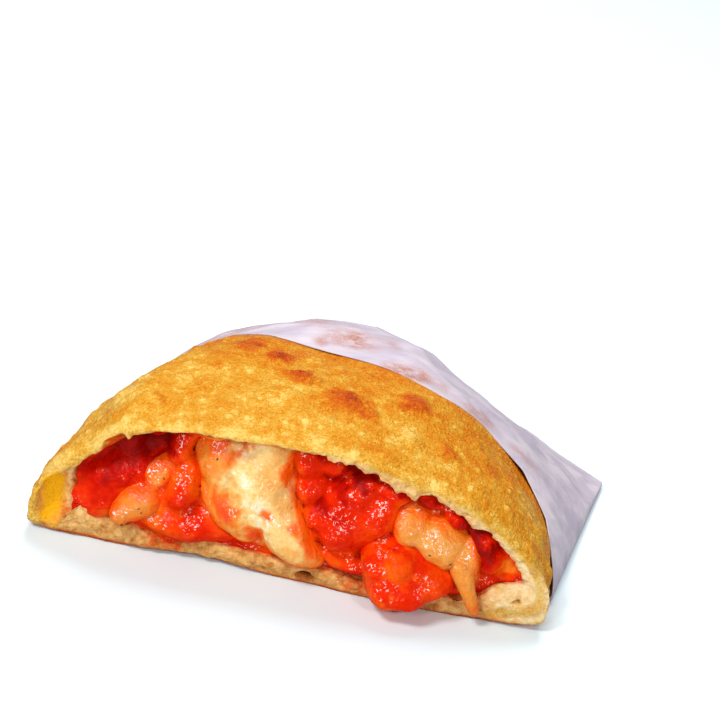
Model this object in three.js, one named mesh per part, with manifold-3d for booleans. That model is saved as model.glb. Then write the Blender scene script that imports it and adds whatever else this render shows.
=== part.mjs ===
// Half of a fried pizza, a folded half-moon of dough filled with tomato and mozzarella, cut
// across and served in a greaseproof paper sleeve.
//
// Millimetres, +Z up. The half rests on its flat underside. The cut face looks along -Y, with
// the sealed edge at -X and the fold at +X, and the sleeve closes round the far end at +Y.
import * as THREE from "three";
import { mergeVertices } from "three/addons/utils/BufferGeometryUtils.js";
import Module from "manifold-3d";

const wasm = await Module();
wasm.setup();

// ---------------------------------------------------------------- driving dimensions

const GAP = 0.35; // left between pieces that touch

const DOUGH = {
  width: 141, // cut face, from the sealed edge to the fold
  depth: 98, // from the cut face to the far end
  cutHeight: 42, // height of the dome at the cut
  crownHeight: 45, // height of the dome where it is highest
  crownDepth: 22, // how far behind the cut that is
  crownFall: 0.62, // power of its curve from there to the far end: small is full
  farX: 3, // how far right of the cut's middle the far end lies
  farLevel: 8, // height of the far end's outermost point
  seamCurve: 1.5, // power of the plan's edge: small curves in early
  foldCurve: 2.9,
  seamLevel: 5, // height of the widest line at the sealed edge
  foldLevel: 10, // and at the fold
  underFullness: 0.13, // power of the curve under the widest line: small is square
  underFlat: 1.08, // above 1, the underside is truly flat in its middle
  rimProud: 0.6, // how far the cut crumb stands out between its two edges
  foldSlack: 1, // how much sooner the fold's side falls away towards the far end
};

// Long swells of the top crust: their height, and the length and start of each sine.
const SWELL = {
  height: 0.7,
  x: { length: 9, start: 1.3 },
  y: { length: 11, start: 0.4 },
  slant: { x: 5.5, y: 7, share: 0.5 },
};

// Where the underside's front edge arches off the floor.
const ARCH = { x: -24, height: 1.6, halfWidth: 28, depth: 14 };

const CAVITY = {
  depth: 84,
  seamWall: 10.5, // dough left at the sealed edge
  foldWall: 7.5, // and at the fold
  skin: 2.8, // thickness of the top crust
  base: 5.6, // thickness of the bottom crust
  seamLevel: 16,
  foldLevel: 12,
  farLevel: 15,
  seamUnderFullness: 0.6, // crumb fills the low corner at the sealed edge
  foldUnderFullness: 0.35,
  topFall: 0.7, // power of the roof's fall towards the far end: small stays up
  floorRise: 0.4, // and of the floor's rise
};

// Power of the dome's curve at places from the sealed edge (-1) to the fold (1): small is full.
const FULLNESS = [[-1, 0.45], [-0.85, 0.52], [-0.65, 0.25], [-0.4, 0.2], [0, 0.4], [1, 0.64]];

const PAPER = {
  thickness: 0.5,
  creaseLevel: 2, // height of the sleeve's side and end creases
  clearance: 1.15, // from the dough to the outer face of the paper
  swellRoom: 0.3, // further off than that, for the dough's swells
  bed: 1.0, // how far the dough's underside stands above the floor over the paper
  bedEase: 9, // length over which the underside rises to that
  bedMargin: 12, // how far in front of the paper it starts to
};

// Air holds the sleeve's top sheet off the dough here, by height in the middle of it.
const PUFF = { x: 12, y: 79, reachX: 44, reachY: 32, height: 4.2 };

// The sauce's face: how far behind the cut it lies low down, and what that grows by high up
// and towards the sealed edge.
const SAUCE = {
  gap: 1.1,
  depth: 2.4,
  highDepth: 3.5,
  seamDepth: 6.5,
  high: [14, 36], // heights between which it moves back
  towardsSeam: [5, 45], // and places left of the middle
  ripple: { height: 1.1, x: { length: 4.3, start: 0.6 }, z: { length: 3.7, start: 1.1 } },
  centre: [-4, 21],
  bodyFrom: 16,
};

// The sleeve seen from above, as x and y of a few points on each of its edges.
const SLEEVE_PLAN = {
  mouth: [[-50, 80], [-33, 69], [-11, 56], [9, 48.5], [28, 41.5], [44, 41], [58, 37], [67, 28],
    [72.6, 13]],
  underMouth: [[-50, 80], [-24, 62], [5, 46], [38, 30], [72.6, 13]],
  fold: [[72.6, 13], [80, 46], [87, 76]],
  seam: [[-50, 80], [-45, 93], [-34, 106]],
  end: [[-34, 106], [-8, 120], [34, 109], [64, 94], [87, 76]],
};

const AROUND = 44; // points round a section of the dough
const DOUGH_RINGS = 15;
const CAVITY_RINGS = 10;
const FACE_RINGS = 6;
const SLEEVE_ACROSS = 20;
const SLEEVE_ALONG = 10;

// Pieces of the filling, each seen at the cut as an outline of x and z, counterclockwise.
// front is its foremost y, bulge the depth of its rounded face, back where it ends inside,
// and lean how far y grows for each millimetre up. TAPER is what each narrows to inside.
const TAPER = 0.7;
const MOZZARELLA = {
  mozzarella_middle: {
    outline: [[-31, 27], [-26, 17], [-19, 9.5], [-9, 6.4], [0, 5.8], [5, 8], [2, 18],
      [-1, 29], [-3, 37], [-14, 38], [-24, 34]],
    front: -4, bulge: 9, back: 52, lean: 0.24,
  },
  mozzarella_right: {
    outline: [[27, 19], [31, 13], [39, 11], [45, 8.5], [49, 11], [49.5, 17], [46, 21],
      [38, 24], [33, 28], [29, 25.5]],
    front: -6, bulge: 8, back: 34, lean: 0.2,
    drip: { path: [[45, -3, 15], [49, -5.2, 9.5], [52, -4.4, 3.4]], radius: [4.2, 2.9, 2] },
  },
  mozzarella_left: {
    outline: [[-50, 8.5], [-46, 6.8], [-40, 6.8], [-36, 10], [-39, 14], [-44, 15.5], [-48.5, 13]],
    front: -2.5, bulge: 6, back: 26, lean: 0.2,
  },
  mozzarella_bit: {
    outline: [[-42.5, 20], [-40, 17], [-36, 18], [-34, 22.5], [-39, 24.5]],
    front: 0.5, bulge: 4, back: 16, lean: 0.2,
  },
};

const TOMATO = {
  tomato_front: {
    outline: [[18.5, 8], [20.5, 3.5], [26, 1.4], [33, 1.2], [39, 2.2], [44, 5.5], [42.5, 10],
      [36, 13.5], [27, 16], [20.5, 13.5]],
    front: -12, bulge: 11.5, back: 14, lean: 0.1,
  },
  tomato_middle: {
    outline: [[2, 23], [4.5, 13], [10, 8], [17, 8.5], [24, 14], [30, 18.5], [31, 27],
      [24, 33], [14, 35], [6, 31]],
    front: -6, bulge: 10, back: 44, lean: 0.24,
  },
  tomato_right: {
    outline: [[33, 29.5], [38, 25], [45, 20.5], [50, 15], [55, 14.5], [56, 20], [50, 26.5],
      [42, 31]],
    front: -1, bulge: 6, back: 24, lean: 0.22,
  },
  tomato_left: {
    outline: [[-36, 14], [-31, 9], [-25.5, 11], [-25, 19], [-27, 26], [-32, 27.5], [-35.5, 22]],
    front: -2, bulge: 6, back: 22, lean: 0.24,
  },
  tomato_upper: {
    outline: [[-42, 30], [-37, 26], [-30, 28], [-26, 32.5], [-31, 36.5], [-38, 35]],
    front: 2.5, bulge: 5, back: 20, lean: 0.1,
  },
  tomato_top: {
    outline: [[-1, 33], [3, 29], [9, 31], [15, 34.5], [11, 38], [3, 38.4]],
    front: 0.5, bulge: 5, back: 26, lean: 0.1,
  },
};

const COLOURS = {
  crust: new THREE.MeshStandardMaterial({ color: 0xe3a044, roughness: 0.55, metalness: 0 }),
  tomato: new THREE.MeshStandardMaterial({ color: 0xd02a0c, roughness: 0.25, metalness: 0 }),
  mozzarella: new THREE.MeshStandardMaterial({ color: 0xf4cf92, roughness: 0.35, metalness: 0 }),
  paper: new THREE.MeshStandardMaterial({ color: 0xe6dde4, roughness: 0.7, metalness: 0 }),
};

// ---------------------------------------------------------------- small helpers

const { lerp, smoothstep, clamp } = THREE.MathUtils;

// Height of the dome, from 0 to 1, at a place across it. It falls away sooner at the fold's
// side as reach, the share of the dough's depth, grows.
function domeShare(across, reach) {
  const next = clamp(FULLNESS.findIndex(([place]) => place > across), 1, FULLNESS.length - 1);
  const [[from, less], [to, more]] = [FULLNESS[next - 1], FULLNESS[next]];
  const slack = 1 + DOUGH.foldSlack * reach ** 2 * Math.max(0, across);
  return (1 - across ** 2) ** (slack * lerp(less, more, smoothstep(across, from, to)));
}

// Height at angle a of a section that is widest at height side: a dome above, a flat belly below.
function sectionHeight(a, reach, side, top, floor, underFullness, underFlat = 1) {
  if (Math.sin(a) >= 0) return side + (top - side) * domeShare(clamp(Math.cos(a), -1, 1), reach);
  return side - (side - floor) * Math.min(1, underFlat * (Math.sin(a) ** 2) ** underFullness);
}

// One sine wave of a length, from its start.
const waveAt = (place, { length, start }) => Math.sin(place / length + start);

// Angles that space a section's points evenly along it: half of them above, half below.
function evenAngles(pointAt, count) {
  const STEPS = 4000;
  const half = count / 2;
  const angles = [];
  for (const start of [0, Math.PI]) {
    const run = [0];
    for (let i = 1; i <= STEPS; i++) {
      const here = pointAt(start + (Math.PI * i) / STEPS);
      run.push(run[i - 1] + here.distanceTo(pointAt(start + (Math.PI * (i - 1)) / STEPS)));
    }
    for (let k = 0, i = 0; k < half; k++) {
      while (run[i] < (run[STEPS] * k) / half) i++;
      angles.push(start + (Math.PI * i) / STEPS);
    }
  }
  return angles;
}

// Closed surface through rings of points. A ring of one point is a pole.
function loft(rings) {
  const positions = rings.flat().flatMap((p) => [p.x, p.y, p.z]);
  const index = [];
  let first = 0;
  for (let r = 0; r + 1 < rings.length; r++) {
    const next = first + rings[r].length;
    const count = Math.max(rings[r].length, rings[r + 1].length);
    for (let i = 0; i < count; i++) {
      const j = (i + 1) % count;
      if (rings[r].length > 1) index.push(first + i, first + j, next + (rings[r + 1].length > 1 ? j : 0));
      if (rings[r + 1].length > 1) index.push(first + (rings[r].length > 1 ? i : 0), next + j, next + i);
    }
    first = next;
  }
  const geometry = new THREE.BufferGeometry();
  geometry.setAttribute("position", new THREE.Float32BufferAttribute(positions, 3));
  geometry.setIndex(index);
  return geometry;
}

function solidOf(geometry) {
  const merged = mergeVertices(geometry, 1e-3);
  const solid = new wasm.Manifold(
    new wasm.Mesh({
      numProp: 3,
      vertProperties: new Float32Array(merged.attributes.position.array),
      triVerts: new Uint32Array(merged.index.array),
    }),
  );
  if (solid.volume() > 0) return solid;
  merged.index.array.reverse();
  return solidOf(merged);
}

// The largest body of a solid, as geometry, so that a cut leaves no crumbs behind.
function geometryOf(solid) {
  const bodies = solid.decompose().sort((a, b) => b.volume() - a.volume());
  const { vertProperties, triVerts, numProp } = bodies[0].getMesh();
  const geometry = new THREE.BufferGeometry();
  geometry.setAttribute("position", new THREE.BufferAttribute(vertProperties.slice(), numProp));
  geometry.setIndex(new THREE.BufferAttribute(triVerts.slice(), 1));
  geometry.computeVertexNormals();
  return geometry;
}

// ---------------------------------------------------------------- dough

// Half width, middle and top of the dough's section at depth y, grown all round by grow.
function doughAt(y, grow = 0) {
  const depth = DOUGH.depth + grow;
  const reach = clamp(y / depth, 0, 1);
  const narrowing = Math.sqrt(1 - reach ** 2);
  const edge = (side, curve) =>
    lerp(DOUGH.farX, side * (DOUGH.width / 2 + grow), Math.sqrt(1 - reach ** curve));
  const [left, right] = [edge(-1, DOUGH.seamCurve), edge(1, DOUGH.foldCurve)];
  const before = (DOUGH.crownDepth - y) / DOUGH.crownDepth;
  const beyond = (y - DOUGH.crownDepth) / (depth - DOUGH.crownDepth);
  const top =
    y < DOUGH.crownDepth
      ? DOUGH.crownHeight - (DOUGH.crownHeight - DOUGH.cutHeight) * before ** 2
      : lerp(DOUGH.farLevel, DOUGH.crownHeight, Math.max(0, 1 - beyond ** 2) ** DOUGH.crownFall);
  return {
    reach,
    narrowing,
    half: (right - left) / 2,
    middle: (right + left) / 2,
    top: top + grow,
  };
}

function swell(x, y) {
  const { slant } = SWELL;
  const crossed = waveAt(x, SWELL.x) * waveAt(y, SWELL.y);
  return SWELL.height * (crossed + slant.share * Math.sin(x / slant.x - y / slant.y));
}

// How far the underside stands off the floor: over the paper, and where its edge arches.
function bedHeight(x, y) {
  const [[seamX, seamY], [foldX, foldY]] = [SLEEVE_PLAN.underMouth[0], SLEEVE_PLAN.underMouth.at(-1)];
  const across = (foldX - seamX) / Math.hypot(foldX - seamX, foldY - seamY);
  const behind = (y - seamY - ((x - seamX) * (foldY - seamY)) / (foldX - seamX)) * across;
  const archAcross = smoothstep(ARCH.halfWidth - Math.abs(x - ARCH.x), 0, ARCH.halfWidth);
  const arch = archAcross * (1 - smoothstep(y, 0, ARCH.depth));
  return PAPER.bed * smoothstep(behind + PAPER.bedMargin, 0, PAPER.bedEase) + ARCH.height * arch;
}

// The underside stays down to where these say, then turns up to the far end.
const FLOOR_REACH = 1.06;
const FLOOR_CURVE = 0.3;

// Point of the dough's outer surface at depth y and angle a round the section.
function doughPoint(y, a, grow = 0) {
  const { reach, narrowing, half, middle, top } = doughAt(y, grow);
  const toFold = (Math.cos(a) + 1) / 2;
  const x = middle + half * Math.cos(a);
  const side = lerp(DOUGH.farLevel, lerp(DOUGH.seamLevel, DOUGH.foldLevel, toFold), narrowing);
  const farRise = Math.max(0, 1 - FLOOR_REACH * narrowing ** FLOOR_CURVE);
  const floor = DOUGH.farLevel * farRise + bedHeight(x, y) - grow;
  const up = Math.max(0, Math.sin(a));
  const z = sectionHeight(a, reach, side, top, floor, DOUGH.underFullness, DOUGH.underFlat);
  return new THREE.Vector3(x, y, z + swell(x, y) * up * narrowing);
}

// Point of the filled hollow's surface, shrunk all round by shrink.
function cavityPoint(y, a, shrink = 0) {
  const reach = clamp(y / (CAVITY.depth - shrink), 0, 1);
  const narrowing = Math.sqrt(1 - reach ** 2);
  const toFold = (Math.cos(a) + 1) / 2;
  const edge = (side, wall, curve) =>
    lerp(DOUGH.farX, side * (DOUGH.width / 2 - wall - shrink), Math.sqrt(1 - reach ** curve));
  const left = edge(-1, CAVITY.seamWall, DOUGH.seamCurve);
  const right = edge(1, CAVITY.foldWall, DOUGH.foldCurve);
  const x = lerp(left, right, toFold);
  const side = lerp(CAVITY.farLevel, lerp(CAVITY.seamLevel, CAVITY.foldLevel, toFold), narrowing);
  const dough = doughAt(y);
  const top = lerp(CAVITY.farLevel, dough.top - CAVITY.skin, narrowing ** CAVITY.topFall) - shrink;
  const floor = lerp(CAVITY.farLevel, CAVITY.base, narrowing ** CAVITY.floorRise) + shrink;
  const underFullness = lerp(CAVITY.seamUnderFullness, CAVITY.foldUnderFullness, Math.sqrt(toFold));
  const up = Math.max(0, Math.sin(a));
  const z = sectionHeight(a, dough.reach, side, top, floor, underFullness);
  return new THREE.Vector3(x, y, z + swell(x, y) * up * narrowing);
}

const ANGLES = evenAngles((a) => doughPoint(0, a), AROUND);

// Depths from the far end to the cut, closer together where the surface turns.
const depths = (deepest, count) =>
  Array.from({ length: count }, (_, k) => deepest * Math.cos((Math.PI / 2) * ((k + 1) / count)));

// The pocket of dough: its outer surface, the crumb round the cut, and the hollow. Grown by
// clearance, it is the tool that trims the filling to stand clear of the dough.
function doughGeometry(clearance = 0) {
  const ring = (y, point, offset) => ANGLES.map((a) => point(y, a, offset));
  const rim = ANGLES.map((a) =>
    doughPoint(0, a, clearance).lerp(cavityPoint(0, a, clearance), 0.5).setY(-DOUGH.rimProud - clearance));
  const outer = depths(DOUGH.depth + clearance, DOUGH_RINGS).map((y) => ring(y, doughPoint, clearance));
  const inner = depths(CAVITY.depth - clearance, CAVITY_RINGS).reverse()
    .map((y) => ring(y, cavityPoint, clearance));
  for (const p of [...outer.at(-1), ...inner[0]]) p.y -= clearance;
  const farEnd = [new THREE.Vector3(DOUGH.farX, DOUGH.depth + clearance, DOUGH.farLevel)];
  const hollowEnd = [new THREE.Vector3(DOUGH.farX, CAVITY.depth - clearance, CAVITY.farLevel)];
  return loft([farEnd, ...outer, rim, ...inner, hollowEnd]);
}

// ---------------------------------------------------------------- filling

// How far behind the cut the sauce's face lies: deepest high up under the skin at the seal.
function sauceDepth(x, z) {
  const { depth, highDepth, seamDepth, high, towardsSeam, ripple } = SAUCE;
  const setBack = highDepth + seamDepth * smoothstep(-x, ...towardsSeam);
  const rippled = ripple.height * waveAt(x, ripple.x) * waveAt(z, ripple.z);
  return depth + setBack * smoothstep(z, ...high) + rippled;
}

// The sauce fills the hollow from its uneven face to the far end.
function sauceGeometry() {
  const onFace = (p) => p.setY(sauceDepth(p.x, p.z));
  const border = ANGLES.map((a) => {
    const edge = cavityPoint(SAUCE.depth, a, SAUCE.gap);
    return cavityPoint(sauceDepth(edge.x, edge.z), a, SAUCE.gap);
  });
  const middle = onFace(new THREE.Vector3(SAUCE.centre[0], 0, SAUCE.centre[1]));
  const face = Array.from({ length: FACE_RINGS - 1 }, (_, k) =>
    border.map((edge) => onFace(middle.clone().lerp(edge, (k + 1) / FACE_RINGS))));
  const deepest = CAVITY.depth - SAUCE.gap;
  const body = depths(deepest, CAVITY_RINGS - 1).reverse().filter((y) => y > SAUCE.bodyFrom)
    .map((y) => ANGLES.map((a) => cavityPoint(y, a, SAUCE.gap)));
  const hollowEnd = [new THREE.Vector3(DOUGH.farX, deepest, CAVITY.farLevel)];
  return loft([[middle], ...face, border, ...body, hollowEnd]);
}

// A piece of filling: its outline at the cut, rounded in front and run back into the food.
function pillowGeometry({ outline, front, bulge, back, lean }, grow = 0) {
  const POINTS = 2 * outline.length;
  const CAP_RINGS = 4;
  const curve = new THREE.CatmullRomCurve3(outline.map(([x, z]) => new THREE.Vector3(x, 0, z)), true);
  const drawn = curve.getSpacedPoints(POINTS).slice(0, POINTS);
  const centre = drawn.reduce((sum, p) => sum.add(p), new THREE.Vector3()).divideScalar(POINTS);
  const edge = drawn.map((p, i) => {
    const run = drawn[(i + 1) % POINTS].clone().sub(drawn[(i + POINTS - 1) % POINTS]).normalize();
    return p.clone().add(new THREE.Vector3(run.z, 0, -run.x).multiplyScalar(grow));
  });
  const at = (p, share, y) => {
    const q = centre.clone().lerp(p, share);
    return q.setY(y + lean * (q.z - centre.z));
  };
  const cap = Array.from({ length: CAP_RINGS }, (_, k) => {
    const turn = (Math.PI / 2) * ((k + 1) / CAP_RINGS);
    return edge.map((p) => at(p, Math.sin(turn), front - grow + bulge * (1 - Math.cos(turn))));
  });
  const tail = edge.map((p) => at(p, TAPER, back + grow));
  return loft([[at(centre, 1, front - grow)], ...cap, tail, [at(centre, 1, back + grow)]]);
}

// A drip: a round strand along a curve, thinning to a rounded end.
function dripGeometry({ path, radius }, grow = 0) {
  const SIDES = 12;
  const STEPS = 9;
  const curve = new THREE.CatmullRomCurve3(path.map((p) => new THREE.Vector3(...p)));
  const rings = [];
  for (let k = 0; k <= STEPS; k++) {
    const along = k / STEPS;
    const place = along * (radius.length - 1);
    const low = Math.min(Math.floor(place), radius.length - 2);
    const ease = Math.sqrt(Math.max(0.02, 1 - (2 * along - 1) ** 8));
    const r = lerp(radius[low], radius[low + 1], place - low) * ease + grow;
    const centre = curve.getPoint(along);
    const tangent = curve.getTangent(along);
    const across = new THREE.Vector3(1, 0, 0).cross(tangent).normalize();
    const sideways = tangent.clone().cross(across);
    rings.push(Array.from({ length: SIDES }, (_, i) => {
      const turn = (2 * Math.PI * i) / SIDES;
      const outward = across.clone().multiplyScalar(Math.cos(turn));
      return centre.clone().addScaledVector(outward.addScaledVector(sideways, Math.sin(turn)), r);
    }));
  }
  return loft([[curve.getPoint(0)], ...rings, [curve.getPoint(1)]]);
}

function pieceSolid(piece, grow = 0) {
  const body = solidOf(pillowGeometry(piece, grow));
  return piece.drip ? body.add(solidOf(dripGeometry(piece.drip, grow))) : body;
}

// ---------------------------------------------------------------- paper sleeve

// A smooth edge of the sleeve's plan.
function planCurve(points) {
  const curve = new THREE.CatmullRomCurve3(points.map(([x, y]) => new THREE.Vector3(x, y, 0)));
  return (share) => curve.getPoint(share);
}

// Plan of one sheet, between its mouth, its end and the two side creases (a Coons patch).
// along runs from the mouth to the end, across from the sealed edge's side to the fold's side.
function sheetPlan(mouthPoints) {
  const edges = [mouthPoints, SLEEVE_PLAN.end, SLEEVE_PLAN.seam, SLEEVE_PLAN.fold];
  const [mouth, end, seam, fold] = edges.map(planCurve);
  return (along, across) => {
    const between = mouth(across).lerp(end(across), along);
    const sideways = seam(along).lerp(fold(along), across);
    const corners = mouth(0).lerp(mouth(1), across).lerp(end(0).lerp(end(1), across), along);
    return between.add(sideways).sub(corners);
  };
}

// Shares of the sleeve's width, closer together towards its side creases, where it is steep.
const ACROSS = Array.from({ length: SLEEVE_ACROSS + 1 }, (_, w) =>
  0.5 - 0.5 * Math.cos((Math.PI * w) / SLEEVE_ACROSS));

// How far air holds the paper off the dough at a plan point.
function puffAt(x, y) {
  const away = ((x - PUFF.x) / PUFF.reachX) ** 2 + ((y - PUFF.y) / PUFF.reachY) ** 2;
  return PUFF.height * Math.max(0, 1 - away) ** 2;
}

// Height of the dough below a plan point, grown to the paper's outer face; 0 outside it.
function doughTopAt(x, y) {
  const { reach, narrowing, half, middle, top } = doughAt(y, PAPER.clearance);
  if (half <= 0 || Math.abs(x - middle) >= half) return 0;
  const across = (x - middle) / half;
  const toFold = (across + 1) / 2;
  const side = lerp(DOUGH.farLevel, lerp(DOUGH.seamLevel, DOUGH.foldLevel, toFold), narrowing);
  return side + (top - side) * domeShare(across, reach) + PAPER.swellRoom;
}

// The top sheet stretched over the dough: a membrane held at its creases and free at its
// mouth, which settles on the average of its neighbours wherever the dough doesn't hold it up.
function stretchedSheet() {
  const SETTLING_ROUNDS = 600;
  const plan = sheetPlan(SLEEVE_PLAN.mouth);
  const grid = [];
  for (let s = 0; s <= SLEEVE_ALONG; s++) {
    grid.push([]);
    for (let w = 0; w <= SLEEVE_ACROSS; w++) {
      const p = plan(s / SLEEVE_ALONG, ACROSS[w]);
      const onCrease = w === 0 || w === SLEEVE_ACROSS || s === SLEEVE_ALONG;
      const least = onCrease ? PAPER.creaseLevel : doughTopAt(p.x, p.y) + puffAt(p.x, p.y);
      grid[s].push({ p, held: onCrease, least });
      p.z = grid[s][w].least;
    }
  }
  for (let round = 0; round < SETTLING_ROUNDS; round++)
    grid.forEach((row, s) => row.forEach((cell, w) => {
      if (cell.held) return;
      const ahead = grid[Math.max(s - 1, 0)] === row ? grid[s + 1][w].p.z : grid[s - 1][w].p.z;
      const mean = (ahead + grid[s + 1][w].p.z + row[w - 1].p.z + row[w + 1].p.z) / 4;
      cell.p.z = Math.max(cell.least, mean);
    }));
  return grid.map((row) => row.map((cell) => cell.p));
}

// Unit normals of a grid of points, turned upwards.
function gridNormals(grid) {
  return grid.map((row, s) => row.map((_, w) => {
    const along = grid[Math.min(s + 1, grid.length - 1)][w].clone().sub(grid[Math.max(s - 1, 0)][w]);
    const across = row[Math.min(w + 1, row.length - 1)].clone().sub(row[Math.max(w - 1, 0)]);
    const normal = along.cross(across).normalize();
    return normal.z < 0 ? normal.negate() : normal;
  }));
}

// The sleeve: two sheets joined along their side creases and their end, open at the mouth.
function sleeveGeometry() {
  const top = stretchedSheet();
  const normals = gridNormals(top);
  const plan = sheetPlan(SLEEVE_PLAN.underMouth);
  const middleZ = PAPER.creaseLevel / 2;
  // One closed ring round the sleeve: over the top sheet, then back along the under sheet.
  const ring = (s, inset) => {
    const along = s / SLEEVE_ALONG;
    const over = top[s].map((p, w) => p.clone().addScaledVector(normals[s][w], -inset));
    const under = ACROSS.map((across) => plan(along, across).setZ(inset));
    const inwards = under.at(-1).clone().sub(under[0]).setLength(2 * inset);
    const seamCrease = under[0].clone().add(inwards).setZ(middleZ);
    const foldCrease = under.at(-1).clone().sub(inwards).setZ(middleZ);
    return [foldCrease, ...over.slice(1, -1).reverse(), seamCrease, ...under.slice(1, -1)];
  };
  // At the end the two sheets meet in one line.
  const zipped = (points) => {
    const half = points.length / 2;
    return points.map((p, i) => {
      const partner = points[(points.length - i) % points.length];
      return i % half ? p.clone().lerp(partner, 0.5).setZ(middleZ) : p;
    });
  };
  const rings = [];
  const pulled = zipped(ring(SLEEVE_ALONG, PAPER.thickness));
  for (const p of pulled) p.y -= 2 * PAPER.thickness;
  rings.push(zipped(ring(SLEEVE_ALONG, 0)));
  for (let s = SLEEVE_ALONG - 1; s >= 0; s--) rings.push(ring(s, 0));
  for (let s = 0; s < SLEEVE_ALONG; s++) rings.push(ring(s, PAPER.thickness));
  rings.push(pulled);
  return loft(rings);
}

// ---------------------------------------------------------------- assembly

const half = new THREE.Group();

function addPiece(name, geometry, material) {
  const mesh = new THREE.Mesh(geometry, material);
  mesh.name = name;
  half.add(mesh);
}

addPiece("crust", doughGeometry(), COLOURS.crust);

// Each piece of filling is trimmed by the dough and by the pieces before it.
const room = [solidOf(doughGeometry(GAP))];
const trimmed = (solid) => geometryOf(room.reduce((rest, other) => rest.subtract(other), solid));
for (const [pieces, material] of [[MOZZARELLA, COLOURS.mozzarella], [TOMATO, COLOURS.tomato]])
  for (const [name, piece] of Object.entries(pieces)) {
    addPiece(name, trimmed(pieceSolid(piece)), material);
    room.push(pieceSolid(piece, GAP));
  }
room.shift(); // the sauce keeps clear of the dough by its own size
addPiece("tomato_sauce", trimmed(solidOf(sauceGeometry())), COLOURS.tomato);

addPiece("paper_sleeve", sleeveGeometry(), COLOURS.paper);

// The origin is the middle of the part's footprint, on the floor.
const size = new THREE.Box3().setFromObject(half);
half.position.set(-(size.min.x + size.max.x) / 2, -(size.min.y + size.max.y) / 2, -size.min.z);

const part = new THREE.Group();
part.add(half);

export default part;
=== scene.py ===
"""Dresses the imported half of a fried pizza: crust, melted filling, herbs and paper sleeve.

Shapes are worked out in millimetres in the cut's own frame: x runs along the cut from the
sealed edge to the fold, y from the cut into the food, and z up, with the origin on the floor
in the middle of the cut. CutFrame turns them into the frame's metres.
"""

import logging
import math
from collections.abc import Callable
from dataclasses import dataclass
from enum import Enum
from itertools import product

import bpy
import numpy as np
from mathutils import Matrix, Vector


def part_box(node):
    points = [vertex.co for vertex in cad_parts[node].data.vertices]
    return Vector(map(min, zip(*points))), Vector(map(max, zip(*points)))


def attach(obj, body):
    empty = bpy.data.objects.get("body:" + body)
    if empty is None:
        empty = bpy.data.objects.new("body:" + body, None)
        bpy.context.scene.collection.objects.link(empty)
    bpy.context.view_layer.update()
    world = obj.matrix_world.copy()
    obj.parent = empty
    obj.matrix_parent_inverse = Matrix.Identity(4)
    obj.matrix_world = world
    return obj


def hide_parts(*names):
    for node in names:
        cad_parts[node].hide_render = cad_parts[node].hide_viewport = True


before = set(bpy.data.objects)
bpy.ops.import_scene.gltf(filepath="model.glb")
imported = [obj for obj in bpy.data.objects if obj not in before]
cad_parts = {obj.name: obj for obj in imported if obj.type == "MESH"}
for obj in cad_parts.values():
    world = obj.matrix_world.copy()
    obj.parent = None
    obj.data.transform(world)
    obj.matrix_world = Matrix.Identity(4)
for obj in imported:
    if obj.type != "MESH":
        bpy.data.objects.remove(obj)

log = logging.getLogger("fried_pizza")

Array = np.ndarray
Colour = tuple[int, int, int]
Stops = tuple[tuple[float, Colour], ...]
Pair = tuple[float, float]
Line = tuple[Pair, ...]
Triple = tuple[float, float, float]
Triples = tuple[Triple, ...]
Socket = bpy.types.NodeSocket

# ---- easing and noise

HASH_STEPS = np.array([0x9E3779B97F4A7C15, 0xC2B2AE3D27D4EB4F, 0x165667B19E3779F9], dtype=np.uint64)
HASH_SEED_STEP = np.uint64(0xD6E8FEB86659FD93)
HASH_MIXERS = (np.uint64(0xBF58476D1CE4E5B9), np.uint64(0x94D049BB133111EB))
HASH_SHIFTS = (np.uint64(29), np.uint64(32), np.uint64(31))
DRAW_SHIFT = np.uint64(11)
DRAW_SCALE = 2.0**-53

CORNERS = np.array(list(product((0, 1), repeat=3)))
NEIGHBOURS = np.array(list(product((-1, 0, 1), repeat=3)))
ROLLING_STRENGTH = 1.5
CURVE_STEPS = 24
MILLIMETRE = 0.001
LEAST_LENGTH = 1e-12


def held(value: Array) -> Array:
    """Holds values in the range from 0 to 1."""
    return np.clip(value, 0.0, 1.0)


def mix(low: Array | float, high: Array | float, share: Array | float) -> Array:
    """Goes in a straight line from low, at share 0, to high, at share 1."""
    return low + (high - low) * share


def ease(value: Array, low: float, high: float) -> Array:
    """Rises smoothly from 0 at low to 1 at high: the share squared, times three less twice the share."""
    share = held((value - low) / (high - low))
    return share * share * (3.0 - 2.0 * share)


def drawn(cells: Array, seed: int) -> Array:
    """Draws a number from 0 to 1 for each cell of space, the same one on every run.

    The cell's numbers and the seed, each times a large odd number, are added up, and the sum
    is scrambled by shifts, exclusive ors and products.

    Args:
        cells: three whole numbers to a cell.
        seed: which set of draws this is.

    Returns:
        One number for each cell.
    """
    with np.errstate(over="ignore"):
        whole = cells.astype(np.int64).astype(np.uint64)
        mixed = (whole * HASH_STEPS).sum(axis=-1, dtype=np.uint64) + np.uint64(seed) * HASH_SEED_STEP
        for shift, mixer in zip(HASH_SHIFTS, HASH_MIXERS):
            mixed = (mixed ^ (mixed >> shift)) * mixer
        mixed ^= mixed >> HASH_SHIFTS[-1]
    return (mixed >> DRAW_SHIFT).astype(float) * DRAW_SCALE


def drawn_vectors(cells: Array, seed: int) -> Array:
    """Draws three numbers from 0 to 1 for each cell."""
    return np.stack([drawn(cells, seed + axis) for axis in range(3)], axis=-1)


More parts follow.
